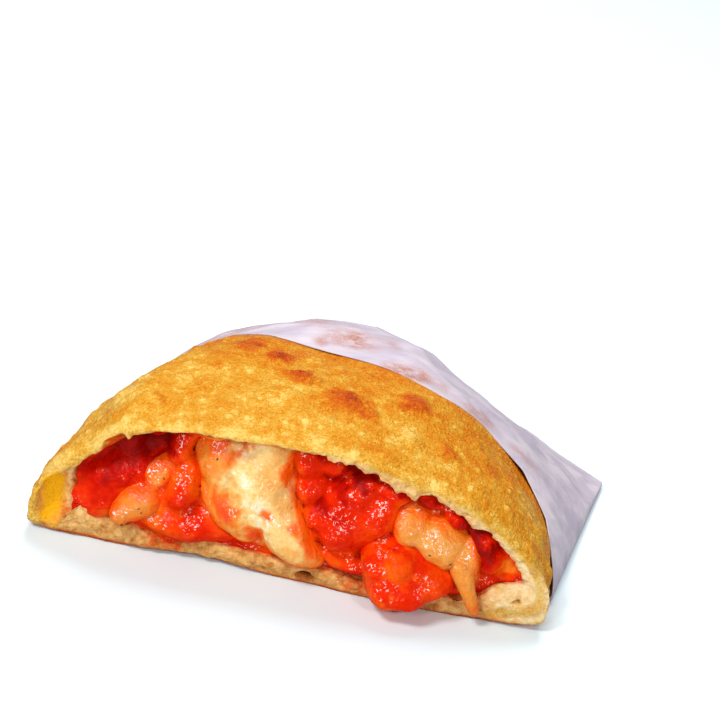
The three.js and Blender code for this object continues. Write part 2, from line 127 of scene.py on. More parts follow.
def rolling(points: Array, length: float | Array, seed: int) -> Array:
    """Gives smooth noise of one length.

    Each corner of the cubes that space is cut into has a random slope. A point takes each
    corner's slope times its offset from it, weighted by the product over the axes of
    6t^5 - 15t^4 + 10t^3, where t runs from 0 at the far corner to 1 at this one.

    Args:
        points: places in millimetres.
        length: size of a cube, or its three sizes.
        seed: which noise this is.

    Returns:
        Values of about -1 to 1.
    """
    scaled = points / length
    base = np.floor(scaled)
    local = scaled - base
    fade = local**3 * (local * (local * 6.0 - 15.0) + 10.0)
    total = np.zeros(points.shape[:-1])
    for corner in CORNERS:
        slope = 2.0 * drawn_vectors(base + corner, seed) - 1.0
        weight = np.prod(np.where(corner == 1, fade, 1.0 - fade), axis=-1)
        total += weight * (slope * (local - corner)).sum(axis=-1)
    return ROLLING_STRENGTH * total


def rough(points: Array, length: float | Array, octaves: int, seed: int) -> Array:
    """Adds up rolling noise, each octave half as long and half as strong as the one before."""
    total = np.zeros(points.shape[:-1])
    for octave in range(octaves):
        total += rolling(points, np.asarray(length) / 2.0**octave, seed + 7 * octave) / 2.0**octave
    return total


@dataclass(frozen=True)
class Scatter:
    """Rounded bumps strewn through space, at most one to a cubic cell."""

    spacing: float
    smallest: float
    largest: float
    share: float
    seed: int

    def height(self, points: Array) -> Array:
        """Works out how high the bumps stand, 1 on top of the largest.

        A bump at distance d from its middle has the height (1 - (d / radius)^2)^2, times its
        radius as a share of the largest one. The highest bump wins.

        Args:
            points: places in millimetres.

        Returns:
            Heights from 0 to 1.
        """
        base = np.floor(points / self.spacing)
        best = np.zeros(points.shape[:-1])
        for neighbour in NEIGHBOURS:
            cell = base + neighbour
            middle = (cell + drawn_vectors(cell, self.seed)) * self.spacing
            radius = mix(self.smallest, self.largest, drawn(cell, self.seed + 3))
            away = ((points - middle) ** 2).sum(axis=-1) / radius**2
            bump = held(1.0 - away) ** 2 * radius / self.largest
            best = np.maximum(best, np.where(drawn(cell, self.seed + 4) < self.share, bump, 0.0))
        return best


# ---- curves, grids and meshes


def evenly(curve: Array, count: int, weight: Array | None = None, closed: bool = False) -> Array:
    """Places points evenly along a curve.

    The run along the curve is summed, times the weight, and the places where it passes equal
    shares are read back from it.

    Args:
        curve: points along the curve.
        count: how many places to give.
        weight: how closely to set the places at each point, or None for the same all along.
        closed: whether the last point is the first again, and is left out.

    Returns:
        Places in the curve's points, from 0 to their number less 1.
    """
    step = np.linalg.norm(np.diff(curve, axis=0), axis=-1)
    if weight is not None:
        step = step * 0.5 * (weight[1:] + weight[:-1])
    run = np.concatenate([[0.0], np.cumsum(step)])
    wanted = np.linspace(0.0, run[-1], count + 1)[:-1] if closed else np.linspace(0.0, run[-1], count)
    return np.interp(wanted, run, np.arange(len(curve)))


def carried_on(controls: Array) -> Array:
    """Adds one control beyond each end, in line with the last two there."""
    before, beyond = 2 * controls[:1] - controls[1:2], 2 * controls[-1:] - controls[-2:-1]
    return np.concatenate([before, controls, beyond])


def cubic(a: Array, b: Array, c: Array, d: Array, t: Array) -> Array:
    """Catmull-Rom cubic from b, at t = 0, to c, at t = 1, with a before them and d after them.

    It is half of (2b + (c - a)t + (2a - 5b + 4c - d)t^2 + (3b - a - 3c + d)t^3).
    """
    squared, cubed = 2 * a - 5 * b + 4 * c - d, 3 * b - a - 3 * c + d
    return 0.5 * (2 * b + (c - a) * t + squared * t**2 + cubed * t**3)


def smooth_curve(controls: Array, count: int, closed: bool = False) -> Array:
    """Draws a smooth curve through control points, evenly spaced, as cubics between them.

    Args:
        controls: the control points.
        count: how many points to give.
        closed: whether the curve comes round to its first control again.

    Returns:
        Points along the curve.
    """
    padded = np.concatenate([controls[-1:], controls, controls[:2]]) if closed else carried_on(controls)
    t = (np.arange(CURVE_STEPS) / CURVE_STEPS)[None, :, None]
    spans = cubic(padded[:-3, None], padded[1:-2, None], padded[2:-1, None], padded[3:, None], t)
    curve = np.concatenate([spans.reshape(-1, controls.shape[1]), padded[-2:-1]])
    places = evenly(curve, count, closed=closed)
    return np.stack([np.interp(places, np.arange(len(curve)), axis) for axis in curve.T], axis=-1)


def inside_by(points: Array, outline: Array) -> Array:
    """Tells how far each point lies inside a closed outline, in the plane.

    The distance is to the nearest of the outline's straight pieces. Its sign comes from
    counting the pieces that a line from the point towards +x crosses: odd is inside.

    Args:
        points: flat points.
        outline: the outline's corners in order.

    Returns:
        Distances, negative outside.
    """
    flat = points.reshape(-1, 1, 2)
    start = outline[None]
    run = np.roll(outline, -1, axis=0)[None] - start
    share = held(((flat - start) * run).sum(-1) / (run**2).sum(-1))
    nearest = np.linalg.norm(flat - start - run * share[..., None], axis=-1).min(axis=1)
    above = start[..., 1] > flat[..., 1]
    ends_above = (start + run)[..., 1] > flat[..., 1]
    rise = np.where(run[..., 1] == 0.0, 1.0, run[..., 1])
    crossing = start[..., 0] + (flat[..., 1] - start[..., 1]) * run[..., 0] / rise
    inside = ((above != ends_above) & (crossing > flat[..., 0])).sum(axis=1) % 2 == 1
    return np.where(inside, nearest, -nearest).reshape(points.shape[:-1])


def full_turn(count: int) -> Array:
    """Angles spaced evenly round a full turn."""
    return np.linspace(0.0, 2.0 * np.pi, count + 1)[:-1]


def unit(vectors: Array) -> Array:
    """Shortens or lengthens vectors to a length of 1."""
    return vectors / (np.linalg.norm(vectors, axis=-1, keepdims=True) + LEAST_LENGTH)


def ring_normals(rings: Array) -> Array:
    """Gives a unit vector square to the surface at each point of a set of closed rings.

    It is the cross product of the step round the ring and the step to the next ring, both
    taken across the point, turned to point outward.

    Args:
        rings: points, ring by ring.

    Returns:
        Unit vectors.
    """
    round_step = np.roll(rings, -1, axis=1) - np.roll(rings, 1, axis=1)
    ring_step = np.gradient(rings, axis=0)
    area = np.cross(round_step, ring_step)
    outward = (area * (rings - rings.mean(axis=(0, 1)))).sum() > 0.0
    return unit(area) if outward else -unit(area)


def rows_of(kind: type, rows: tuple[tuple[float, ...], ...]) -> tuple:
    """Makes one thing of a kind from each row of its numbers."""
    return tuple(kind(*row) for row in rows)


@dataclass(frozen=True)
class CutFrame:
    """Where the cut's own frame stands in the part's frame."""

    origin: Array

    @classmethod
    def beside(cls, crust_corner: Array, half_width: float, rim_proud: float) -> "CutFrame":
        """Finds the frame from the crust's lowest corner."""
        return cls(np.asarray(crust_corner) + np.array([half_width, rim_proud, 0.0]) * MILLIMETRE)

    def metres(self, points: Array) -> Array:
        """Turns millimetres in the cut's frame into metres in the part's frame."""
        return points * MILLIMETRE + self.origin


def lay_mesh(name: str, rings: Array, marks: dict[str, Array], place: CutFrame) -> bpy.types.Object:
    """Makes a closed mesh through rings of points.

    Neighbouring points on two neighbouring rings give one four-sided face. Points that
    coincide become one vertex, and a face that loses a corner by that becomes a triangle.

    Args:
        name: the piece's name.
        rings: points in millimetres, ring by ring, with one more axis in front where the
            piece has several closed parts.
        marks: numbers to store with each point, by name.
        place: the frame that the rings are in.

    Returns:
        The new object, with its faces turned outward.
    """
    parts = rings[None] if rings.ndim == 3 else rings
    points = parts.reshape(-1, 3)
    _, first, index = np.unique(np.round(points, 5), axis=0, return_index=True, return_inverse=True)
    corner = index.reshape(parts.shape[:3])
    following = np.roll(corner, -1, axis=2)
    sides = (corner[:, :-1], following[:, :-1], following[:, 1:], corner[:, 1:])
    faces = np.stack(sides, axis=-1).reshape(-1, 4)
    repeats = faces == np.roll(faces, -1, axis=1)
    squares = faces[repeats.sum(axis=1) == 0]
    narrow = repeats.sum(axis=1) == 1
    triangles = faces[narrow][~repeats[narrow]].reshape(-1, 3)
    kept = points[first]
    corners = kept[np.concatenate([squares[:, [0, 1, 2]], squares[:, [0, 2, 3]], triangles])]
    if np.einsum("ij,ij->", corners[:, 0], np.cross(corners[:, 1], corners[:, 2])) < 0.0:
        squares, triangles = squares[:, ::-1], triangles[:, ::-1]
    loops = np.concatenate([squares.reshape(-1), triangles.reshape(-1)])
    corner_counts = np.concatenate([np.full(len(squares), 4), np.full(len(triangles), 3)])
    mesh = bpy.data.meshes.new(name)
    mesh.vertices.add(len(kept))
    mesh.vertices.foreach_set("co", place.metres(kept).astype(np.float32).reshape(-1))
    mesh.loops.add(len(loops))
    mesh.loops.foreach_set("vertex_index", loops.astype(np.int32))
    mesh.polygons.add(len(corner_counts))
    mesh.polygons.foreach_set("loop_start", (np.cumsum(corner_counts) - corner_counts).astype(np.int32))
    mesh.polygons.foreach_set("loop_total", corner_counts.astype(np.int32))
    mesh.polygons.foreach_set("use_smooth", np.ones(len(corner_counts), dtype=bool))
    mesh.update(calc_edges=True)
    for mark, values in marks.items():
        layer = mesh.attributes.new(mark, "FLOAT", "POINT")
        layer.data.foreach_set("value", values.reshape(-1)[first].astype(np.float32))
    piece = bpy.data.objects.new(name, mesh)
    bpy.context.scene.collection.objects.link(piece)
    return piece


# ---- materials


def tint(colour: Colour) -> tuple[float, float, float, float]:
    """Turns a screen colour of 0 to 255 into the linear colour that a shader takes."""
    share = np.array(colour) / 255.0
    linear = np.where(share <= 0.04045, share / 12.92, ((share + 0.055) / 1.055) ** 2.4)
    return (*(float(channel) for channel in linear), 1.0)


class NodeBoard:
    """A new material's node tree, with a short way to lay down each kind of node it needs."""

    def __init__(self, name: str) -> None:
        """Makes the material and finds its shader."""
        self.material = bpy.data.materials.new(name)
        self.material.use_nodes = True
        self.tree = self.material.node_tree
        self.shader = self.tree.nodes["Principled BSDF"]
        self.place = self.tree.nodes.new("ShaderNodeTexCoord").outputs["Object"]

    def feed(self, socket: Socket, value: Socket | float) -> None:
        """Links value to socket if it is a socket, and otherwise writes it there."""
        if isinstance(value, bpy.types.NodeSocket):
            self.tree.links.new(value, socket)
        else:
            socket.default_value = value

    def lay(self, kind: str, inputs: dict[str | int, object], **settings: str) -> bpy.types.Node:
        """Lays down a node of a kind, makes its settings and feeds its inputs.

        Args:
            kind: what follows ShaderNode in its type.
            inputs: values or sockets, by name or number.
            settings: its properties.

        Returns:
            The node.
        """
        node = self.tree.nodes.new(f"ShaderNode{kind}")
        for name, setting in settings.items():
            setattr(node, name, setting)
        for name, value in inputs.items():
            self.feed(node.inputs[name], value)
        return node

    def mark(self, name: str) -> Socket:
        """Reads one of the mesh's stored numbers."""
        return self.lay("Attribute", {}, attribute_name=name).outputs["Fac"]

    def sums(self, kind: str, first: Socket | float, second: Socket | float) -> Socket:
        """Does one sum: ADD, SUBTRACT or MULTIPLY."""
        return self.lay("Math", {0: first, 1: second}, operation=kind).outputs[0]

    def times(self, first: Socket, *others: Socket | float) -> Socket:
        """Multiplies numbers with each other."""
        for other in others:
            first = self.sums("MULTIPLY", first, other)
        return first

    def cloud(
        self,
        size: float,
        detail: float = 2.0,
        seed: float = 0.0,
        stretch: Triple = (1.0, 1.0, 1.0),
        warp: float = 0.0,
    ) -> Socket:
        """Lays down cloudy noise.

        Args:
            size: length of its features in millimetres.
            detail: how many finer layers it has.
            seed: shifts it to another part of the noise.
            stretch: how many times longer its features are along x, y and z.
            warp: how strongly it is distorted.

        Returns:
            Its value, about 0.5 on average.
        """
        scale = tuple(1.0 / longer for longer in stretch)
        where = {"Vector": self.place, "Location": (seed, 1.7 * seed, -seed), "Scale": scale}
        shifted = self.lay("Mapping", where).outputs[0]
        noise = {"Vector": shifted, "Scale": 1.0 / (size * MILLIMETRE), "Detail": detail}
        return self.lay("TexNoise", noise | {"Roughness": 0.6, "Distortion": warp}).outputs["Fac"]

    def grains(self, size: float) -> Socket:
        """Lays down rounded cells of that size in millimetres: 0 in each one's middle."""
        cells = {"Vector": self.place, "Scale": 1.0 / (size * MILLIMETRE)}
        return self.lay("TexVoronoi", cells).outputs["Distance"]

    def span(self, value: Socket, low: float, high: float, first: float = 0.0, last: float = 1.0) -> Socket:
        """Carries value smoothly from the range low..high to first..last, and holds it there."""
        ends = {"From Min": low, "From Max": high, "To Min": first, "To Max": last}
        node = self.lay("MapRange", {"Value": value} | ends, interpolation_type="SMOOTHSTEP")
        return node.outputs["Result"]

    def ramp(self, value: Socket, stops: Stops) -> Socket:
        """Turns a number into a colour through named stops.

        Args:
            value: the number.
            stops: place and colour of each stop, lowest first.

        Returns:
            The colour.
        """
        node = self.lay("ValToRGB", {"Fac": value})
        elements = node.color_ramp.elements
        elements[0].position, elements[0].color = stops[0][0], tint(stops[0][1])
        elements[1].position, elements[1].color = stops[-1][0], tint(stops[-1][1])
        for position, colour in stops[1:-1]:
            elements.new(position).color = tint(colour)
        return node.outputs["Color"]

    def over(self, share: Socket | float, under: Socket, top: Socket | Colour) -> Socket:
        """Lays the colour top over under, by share."""
        layers = {"Factor": share, "A": under, "B": tint(top) if isinstance(top, tuple) else top}
        return self.lay("Mix", layers, data_type="RGBA").outputs["Result"]

    def mottled(self, value: Socket, layers: Triples, detail: float = 2.0, warp: float = 0.0) -> Socket:
        """Adds clouds to a number, each about its middle.

        Args:
            value: the number.
            layers: each cloud's size in millimetres, half of its strength, and its seed.
            detail: how many finer layers each cloud has.
            warp: how strongly each is distorted.

        Returns:
            The number with all of them added.
        """
        for size, strength, seed in layers:
            spread = self.sums("SUBTRACT", self.cloud(size, detail, seed, warp=warp), 0.5)
            value = self.sums("ADD", value, self.times(spread, strength * 2.0))
        return value

    def painted_glints(self, size: float, seed: float) -> Socket:
        """Lays down painted glints, highlights drawn into the colour: curved strokes where one noise crosses
        its middle and another is high.

        They keep to surfaces turned to the light, by a stored mark, and to patches of slower noise.

        Args:
            size: length of a stroke in millimetres.
            seed: which set of painted highlights this is.

        Returns:
            How strongly a painted highlight covers each place.
        """
        # Painted highlights: these strokes only lighten the base colour, they are not reflections.
        offset = self.sums("SUBTRACT", self.cloud(size, 1.0, seed), 0.5)
        stroke = self.span(self.times(offset, offset), 0.0002, 0.002, 1.0, 0.0)
        broken = self.span(self.cloud(0.8 * size, 1.0, seed + 0.3), 0.5, 0.57)
        patch = self.span(self.cloud(6.0 * size, 1.0, seed + 0.7), 0.44, 0.54)
        return self.times(stroke, broken, self.mark("painted_glint_mask"), patch)

    def relief(self, *heights: tuple[Socket, float]) -> Socket:
        """Bends the surface's normal by heights, one after the other.

        Args:
            heights: each height from 0 to 1, and the millimetres that 1 stands for.

        Returns:
            The new normal.
        """
        start = {}
        for height, depth in heights:
            bump = self.lay("Bump", start | {"Distance": depth * MILLIMETRE, "Height": height})
            start = {"Normal": bump.outputs["Normal"]}
        return start["Normal"]

    def finish(
        self,
        colour: Socket,
        roughness: Socket | float,
        normal: Socket,
        specular: float | None = None,
        glow: tuple[float, Triple, float] | None = None,
    ) -> bpy.types.Material:
        """Feeds the shader and gives the material.

        Args:
            colour: base colour.
            roughness: roughness.
            normal: bent normal.
            specular: specular level, or None for the shader's own.
            glow: subsurface weight, radius and scale, or None for no light below the surface.

        Returns:
            The finished material.
        """
        values = {"Base Color": colour, "Roughness": roughness, "Normal": normal}
        if specular is not None:
            values["Specular IOR Level"] = specular
        if glow is not None:
            values |= zip([f"Subsurface {part}" for part in ("Weight", "Radius", "Scale")], glow)
        for name, value in values.items():
            self.feed(self.shader.inputs[name], value)
        return self.material


@dataclass(frozen=True)
class FriedCrust:
    """Blistered golden skin, with pale crumb where the marks say it is cut."""

    golden: Stops = (
        (0.0, (240, 200, 108)), (0.2, (214, 156, 46)), (0.4, (208, 127, 16)),
        (0.6, (202, 98, 8)), (0.8, (186, 66, 8)), (1.0, (132, 42, 8)),
    )
    crumbs: Stops = (
        (0.0, (120, 54, 14)), (0.35, (196, 122, 56)), (0.6, (234, 182, 108)), (1.0, (255, 234, 184)),
    )
    stain: Colour = (222, 78, 14)
    amber: Colour = (255, 186, 22)
    # Colour of the painted glitter highlights.
    painted_glitter_colour: Colour = (250, 204, 92)
    patches: Triples = ((8.0, 0.22, 0.1), (3.0, 0.24, 0.5), (1.0, 0.18, 0.9), (0.45, 0.3, 0.3))

    def material(self) -> bpy.types.Material:
        """Builds the finish from the marks toast, crumb, pit, stain and amber.

        Returns:
            The material.
        """
        board = NodeBoard("fried_crust")
        toast = board.mottled(board.mark("toast"), self.patches)
        # Painted highlights: pale glitter specks on the skin, fewer where it is fried darker.
        painted_glitter = board.span(board.cloud(0.55, 2.0, 0.45), 0.58, 0.7, 0.0, 0.6)
        painted_glitter = board.times(painted_glitter, board.span(board.mark("toast"), 0.4, 0.7, 1.0, 0.4))
        skin = board.over(painted_glitter, board.ramp(toast, self.golden), self.painted_glitter_colour)
        fine = board.span(board.cloud(1.7, 4.0, 0.3), 0.2, 0.8, 0.36, 0.66)
        # The pit mark takes brightness from the crumb: painted shade in its pits and pores.
        bread = board.sums("SUBTRACT", board.sums("ADD", fine, 0.12), board.mark("pit"))
        crumb = board.ramp(bread, self.crumbs)
        wet = board.times(board.mark("stain"), board.span(board.cloud(2.0, 3.0, 0.7), 0.3, 0.62))
        colour = board.over(board.mark("crumb"), skin, crumb)
        colour = board.over(board.mark("amber"), colour, self.amber)
        colour = board.over(wet, colour, self.stain)
        rough_skin = board.span(board.cloud(1.5, 3.0, 0.6), 0.3, 0.7, 0.22, 0.42)
        dryness = board.times(board.mark("crumb"), 0.3)
        normal = board.relief((board.cloud(0.5, 2.0, 0.2), 0.4), (board.grains(1.0), 0.3))
        glow = (0.06, (1.0, 0.5, 0.2), 0.0015)
        return board.finish(colour, board.sums("ADD", rough_skin, dryness), normal, specular=0.06, glow=glow)


@dataclass(frozen=True)
class WetTomato:
    """Smooth, wet crushed tomato, orange where it is thin or meets the cheese."""

    reds: Stops = (
        (0.0, (146, 6, 0)), (0.3, (196, 15, 0)), (0.55, (232, 42, 2)), (0.78, (242, 84, 6)),
        (1.0, (246, 142, 34)),
    )
    # Colour of the painted highlights.
    painted_glint: Colour = (255, 232, 226)

    def material(self) -> bpy.types.Material:
        """Builds the finish from the marks gleam and ripe: ripe 0 is darkest red and 1 is orange.

        Returns:
            The material.
        """
        board = NodeBoard("wet_tomato")
        ripe = board.mottled(board.mark("ripe"), ((5.0, 0.2, 0.2), (1.4, 0.12, 0.6)), warp=0.6)
        # Painted highlights: glint strokes laid over the red in pale pink.
        colour = board.over(board.painted_glints(1.15, 0.15), board.ramp(ripe, self.reds), self.painted_glint)
        roughness = board.span(board.cloud(1.6, 2.0, 0.4), 0.35, 0.65, 0.1, 0.24)
        roughness = board.sums("ADD", roughness, board.span(board.mark("ripe"), 0.08, 0.35, 0.3, 0.0))
        normal = board.relief((board.cloud(2.6, 1.0, 0.8), 0.3), (board.cloud(1.1, 1.0, 0.1), 0.3))
        glow = (0.08, (1.0, 0.15, 0.05), 0.0012)
        return board.finish(colour, roughness, normal, specular=0.08, glow=glow)


@dataclass(frozen=True)
class MeltedCheese:
    """Soft stretched mozzarella, stained by the tomato round its edges."""

    creams: Stops = (
        (0.0, (226, 114, 20)), (0.35, (232, 144, 52)), (0.65, (240, 180, 96)), (0.86, (249, 212, 138)),
        (1.0, (255, 240, 214)),
    )
    stains: Stops = (
        (0.0, (250, 160, 60)), (0.5, (246, 122, 20)), (1.0, (240, 72, 4)),
    )
    # Colour of the painted highlights.
    painted_glint: Colour = (255, 244, 238)

    def material(self) -> bpy.types.Material:
        """Builds the finish from the marks cream, gleam and stain.

        Returns:
            The material.
        """
        board = NodeBoard("melted_cheese")
        cream = board.mottled(board.mark("cream"), ((5.0, 0.3, 0.4), (1.0, 0.2, 0.75)), 3.0, 0.8)
        stain = board.mottled(board.mark("stain"), ((3.0, 0.225, 0.9),), 3.0, 1.0)
        stained = board.ramp(stain, self.stains)
        colour = board.over(board.span(stain, 0.1, 0.8), board.ramp(cream, self.creams), stained)
        # Painted highlights: glint strokes laid over the cheese in near white.
        colour = board.over(board.painted_glints(1.3, 0.55), colour, self.painted_glint)
        roughness = board.span(board.cloud(2.5, 2.0, 0.7), 0.35, 0.65, 0.12, 0.3)
        folds = board.cloud(2.2, 2.0, 0.15, stretch=(1.0, 1.0, 3.0))
        normal = board.relief((folds, 0.4), (board.cloud(0.9, 2.0, 0.55), 0.35))
        glow = (0.15, (1.0, 0.6, 0.3), 0.0012)
        return board.finish(colour, roughness, normal, specular=0.4, glow=glow)


@dataclass(frozen=True)
class GreaseproofPaper:
    """Thin pale paper with bands of painted fold shade and faint brown blotches."""

    # From the darker to the paler violet-grey of the painted fold shade.
    shades: Stops = (
        (0.0, (184, 172, 188)), (0.5, (198, 186, 199)), (1.0, (210, 200, 209)),
    )
    blotch: Colour = (172, 108, 82)

    def material(self) -> bpy.types.Material:
        """Builds the finish from the mark blotch.

        Returns:
            The material.
        """
        board = NodeBoard("greaseproof_paper")
        # Painted shade: paler and darker bands drawn out along the creases, like lit and shaded soft folds.
        fold_shade_streaks = board.cloud(7.0, 3.0, 0.3, stretch=(3.0, 1.0, 1.0), warp=0.5)
        colour = board.ramp(board.span(fold_shade_streaks, 0.3, 0.7), self.shades)
        ragged = board.span(board.cloud(2.4, 5.0, 0.8, stretch=(1.6, 1.0, 1.0)), 0.32, 0.56, 0.3, 1.0)
        grain = board.span(board.cloud(0.6, 2.0, 0.35), 0.3, 0.6, 0.55, 1.0)
        colour = board.over(board.times(board.mark("blotch"), ragged, grain), colour, self.blotch)
        creases = board.cloud(4.0, 3.0, 0.6, stretch=(3.0, 1.0, 1.0))
        normal = board.relief((creases, 0.25), (board.cloud(0.5, 2.0, 0.1), 0.02))
        roughness = board.span(board.cloud(5.0, 2.0, 0.2), 0.3, 0.7, 0.42, 0.6)
        return board.finish(colour, roughness, normal, specular=0.4)


@dataclass(frozen=True)
class DriedHerb:
    """Dark green to brown dried leaf."""

    leaf: Stops = ((0.0, (30, 34, 12)), (1.0, (92, 84, 38)))

    def material(self) -> bpy.types.Material:
        """Builds the finish."""
        board = NodeBoard("dried_herb")
        colour = board.ramp(board.span(board.cloud(0.5, 2.0, 0.2), 0.3, 0.7), self.leaf)
        return board.finish(colour, 0.6, board.relief((board.cloud(0.3, 2.0, 0.6), 0.05)))


class Finish(Enum):
    """The finishes that pieces choose among, each with the record's material slot it fills."""

    CRUST = (FriedCrust(), "crust")
    TOMATO = (WetTomato(), "tomato")
    CHEESE = (MeltedCheese(), "mozzarella")
    PAPER = (GreaseproofPaper(), "paper")
    HERB = (DriedHerb(), "crust")

    @property
    def slot(self) -> str:
        """Name of the material slot."""
        return self.value[1]


class Workshop:
    """Lays each piece's mesh and dresses it, and makes each finish's material once."""

    def __init__(self, place: CutFrame) -> None:
        """Starts with no material made, and with the frame that the pieces are worked out in."""
        self.place = place
        self.made: dict[Finish, bpy.types.Material] = {}

    def make(self, name: str, rings: Array, marks: dict[str, Array], finish: Finish) -> bpy.types.Object:
        """Makes a piece with its finish, lets it ride on the root and reports it.

        Args:
            name: the piece's name.
            rings: its points, as lay_mesh takes them.
            marks: its colour marks.
            finish: what it is made of.

        Returns:
            The piece.
        """
        piece = lay_mesh(name, rings, marks, self.place)
        if finish not in self.made:
            self.made[finish] = finish.value[0].material()
        piece.data.materials.append(self.made[finish])
        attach(piece, "root")
        log.info("%s: %d faces", piece.name, len(piece.data.polygons))
        return piece


# ---- dough

SLEEVE_MOUTH = (
    (-50, 80), (-33, 69), (-15, 57), (3, 51.5), (21, 46), (33, 42.5), (46, 43), (59, 38.5), (67.5, 29),
    (72.6, 13),
)


@dataclass(frozen=True)
class Blister:
    """A raised patch of the skin, with how much darker it is fried than the skin round it."""

    x: float
    y: float
    reach: float
    rise: float
    toast: float


@dataclass(frozen=True)
class Pit:
    """A hole in the crumb of the cut."""

    x: float
    z: float
    reach: float
    depth: float


@dataclass
class DoughPocket:
    """The folded, fried dough: its skin, the crumb round the cut, and the hollow behind it."""

    width: float = 141.0
    depth: float = 98.0
    cut_height: float = 42.0
    crown_height: float = 45.0
    crown_depth: float = 22.0
    crown_fall: float = 0.62
    far_x: float = 3.0
    far_level: float = 8.0
    seam_curve: float = 1.5
    fold_curve: float = 2.9
    seam_level: float = 5.0
    fold_level: float = 10.0
    under_fullness: float = 0.13
    under_flat: float = 1.08
    rim_proud: float = 0.6
    swell_height: float = 0.7
    floor_reach: float = 1.06
    floor_curve: float = 0.3
    fold_slack: float = 1.0
    hollow_depth: float = 84.0
    hollow_seam_wall: float = 10.5
    hollow_fold_wall: float = 7.5
    hollow_skin: float = 2.8
    hollow_base: float = 5.6
    hollow_seam_level: float = 16.0
    hollow_fold_level: float = 12.0
    hollow_far_level: float = 15.0
    hollow_seam_fullness: float = 0.6
    hollow_fold_fullness: float = 0.35
    hollow_top_fall: float = 0.7
    hollow_floor_rise: float = 0.4
    arch_x: float = -24.0
    arch_height: float = 1.6
    arch_half_width: float = 28.0
    arch_depth: float = 14.0
    bed: float = 1.0
    bed_ease: float = 9.0
    bed_margin: float = 12.0
    fullness: Line = (
        (-1, 0.45), (-0.85, 0.52), (-0.65, 0.25), (-0.4, 0.2), (0, 0.4), (1, 0.64),
    )
    bed_line: tuple[tuple[float, float], tuple[float, float]] = ((-50.0, 80.0), (72.6, 13.0))
    around: int = 520
    outline_steps: int = 6000
    front_length: float = 62.0
    front_rings: int = 116
    far_rings: int = 22
    rim_rings: int = 17
    hollow_rings: int = 13
    bubbles: Scatter = Scatter(2.9, 0.9, 1.6, 0.6, 41)
    blisters: tuple[Blister, ...] = rows_of(Blister, (
        (-21.3, 48, 6, 0.5, 0.34), (-13.3, 41.4, 5.6, 1.1, 0.42), (-6.3, 30.1, 5.4, 1.6, 0.52),
        (8.1, 21.6, 8.4, 1.4, 0.42), (14, 17, 4, 0.3, 0.2), (25.3, 31.5, 6.4, 1.3, 0.44),
        (20, 27, 3.6, 0.3, 0.16), (36.4, 16.2, 4.4, 1, 0.32), (24.7, 16, 3.2, 0.7, -0.12),
        (-43.5, 11.5, 4.5, 0.7, -0.06), (-30, 22, 5, 0.6, 0.1), (46, 8, 4.2, 0.8, 0.08),
        (-52, 7, 3.2, 0.6, 0.12), (2.8, 12, 3.6, 0.6, -0.08), (-62, 4, 9, 1.3, 0),
    ))
    pits: tuple[Pit, ...] = rows_of(Pit, (
        (5, 2.2, 2.6, 3), (61.9, 8.4, 1.2, 1.4), (-59.6, 14.5, 1.2, 1),
    ))
    opening_top: Line = (
        (-68.2, 9), (-67.7, 12.3), (-65.8, 15.5), (-63.4, 18.2), (-60.9, 20.4), (-58.1, 23.4), (-56.1, 26),
        (-53.6, 27.6), (-52.6, 29.4), (-52, 32), (-49.1, 34.4), (-47.4, 34.8), (-46.4, 33.7), (-45.2, 34.9),
        (-41.4, 36.8), (-36.3, 38.2), (-30.4, 39.5), (-20, 39.8), (-8, 40.4), (4.5, 40.5), (6.5, 39.3),
        (11.6, 39.8), (15, 38.2), (20.5, 36.5), (24.8, 34.2), (29.3, 33), (30.9, 34.8), (33.8, 34.8),
        (37.5, 33.2), (42.3, 30.8), (45.7, 28.3), (50.3, 26.8), (53.8, 24.3), (56.2, 21.9), (59.1, 19.6),
        (60.7, 17.4), (62, 15.3), (62.4, 13.8),
    )
    opening_base: Line = (
        (-68.2, 9), (-67.2, 5.6), (-65, 3.6), (-62.5, 3.4), (-61, 5.2), (-59, 8), (-57, 9.6), (-53, 8.8),
        (-48, 7.2), (-40, 6.3), (-37.5, 5.2), (-33, 2.8), (-28.5, 4.2), (-23, 6.4), (0, 5.9), (19, 5),
        (40, 5), (47, 5.2), (51, 6.8), (53.5, 9.8), (56, 12), (59.5, 13), (62.4, 13.8),
    )
    shoulder_place: Pair = (-52.0, 29.0)
    shoulder_reach: Pair = (10.0, 20.0)
    shoulder_rise: float = 2.4
    funnel: float = 6.5
    lip_rings: int = 15
    film_place: Pair = (-64.4, 11.0)
    film_reach: Pair = (3.6, 10.5)
    column_place: Pair = (-59.4, 14.6)
    column_reach: Pair = (2.8, 9.5)
    column_proud: float = 1.0
    paper_shelter: float = 0.06
    band_start: float = 50.0
    overflow_place: Pair = (-33.5, 4.5)
    overflow_reach: Pair = (5.5, 6.0)

    def dome_share(self, across: Array, reach: Array) -> Array:
        """Height of the dome at a place across it.

        It is one less the square of the place, to a power that eases from entry to entry of
        the fullness table and grows with depth at the fold's side.

        Args:
            across: place from -1 at the sealed edge to 1 at the fold.
            reach: share of the dough's depth.

        Returns:
            Height from 0 to 1.
        """
        places, powers = np.array(self.fullness).T
        entry = np.clip(np.searchsorted(places, across, side="right"), 1, len(places) - 1)
        share = held((across - places[entry - 1]) / (places[entry] - places[entry - 1]))
        power = mix(powers[entry - 1], powers[entry], share * share * (3.0 - 2.0 * share))
        slack = 1.0 + self.fold_slack * reach**2 * np.maximum(0.0, across)
        return np.maximum(0.0, 1.0 - across**2) ** (power * slack)

    def edges(self, reach: Array, left: Array | float, right: Array | float) -> tuple[Array, Array]:
        """Plan of both edges from the far end to left and right on the cut: roots of 1 - a power of reach."""
        seam, fold = np.sqrt(1.0 - reach**self.seam_curve), np.sqrt(1.0 - reach**self.fold_curve)
        return mix(self.far_x, left, seam), mix(self.far_x, right, fold)

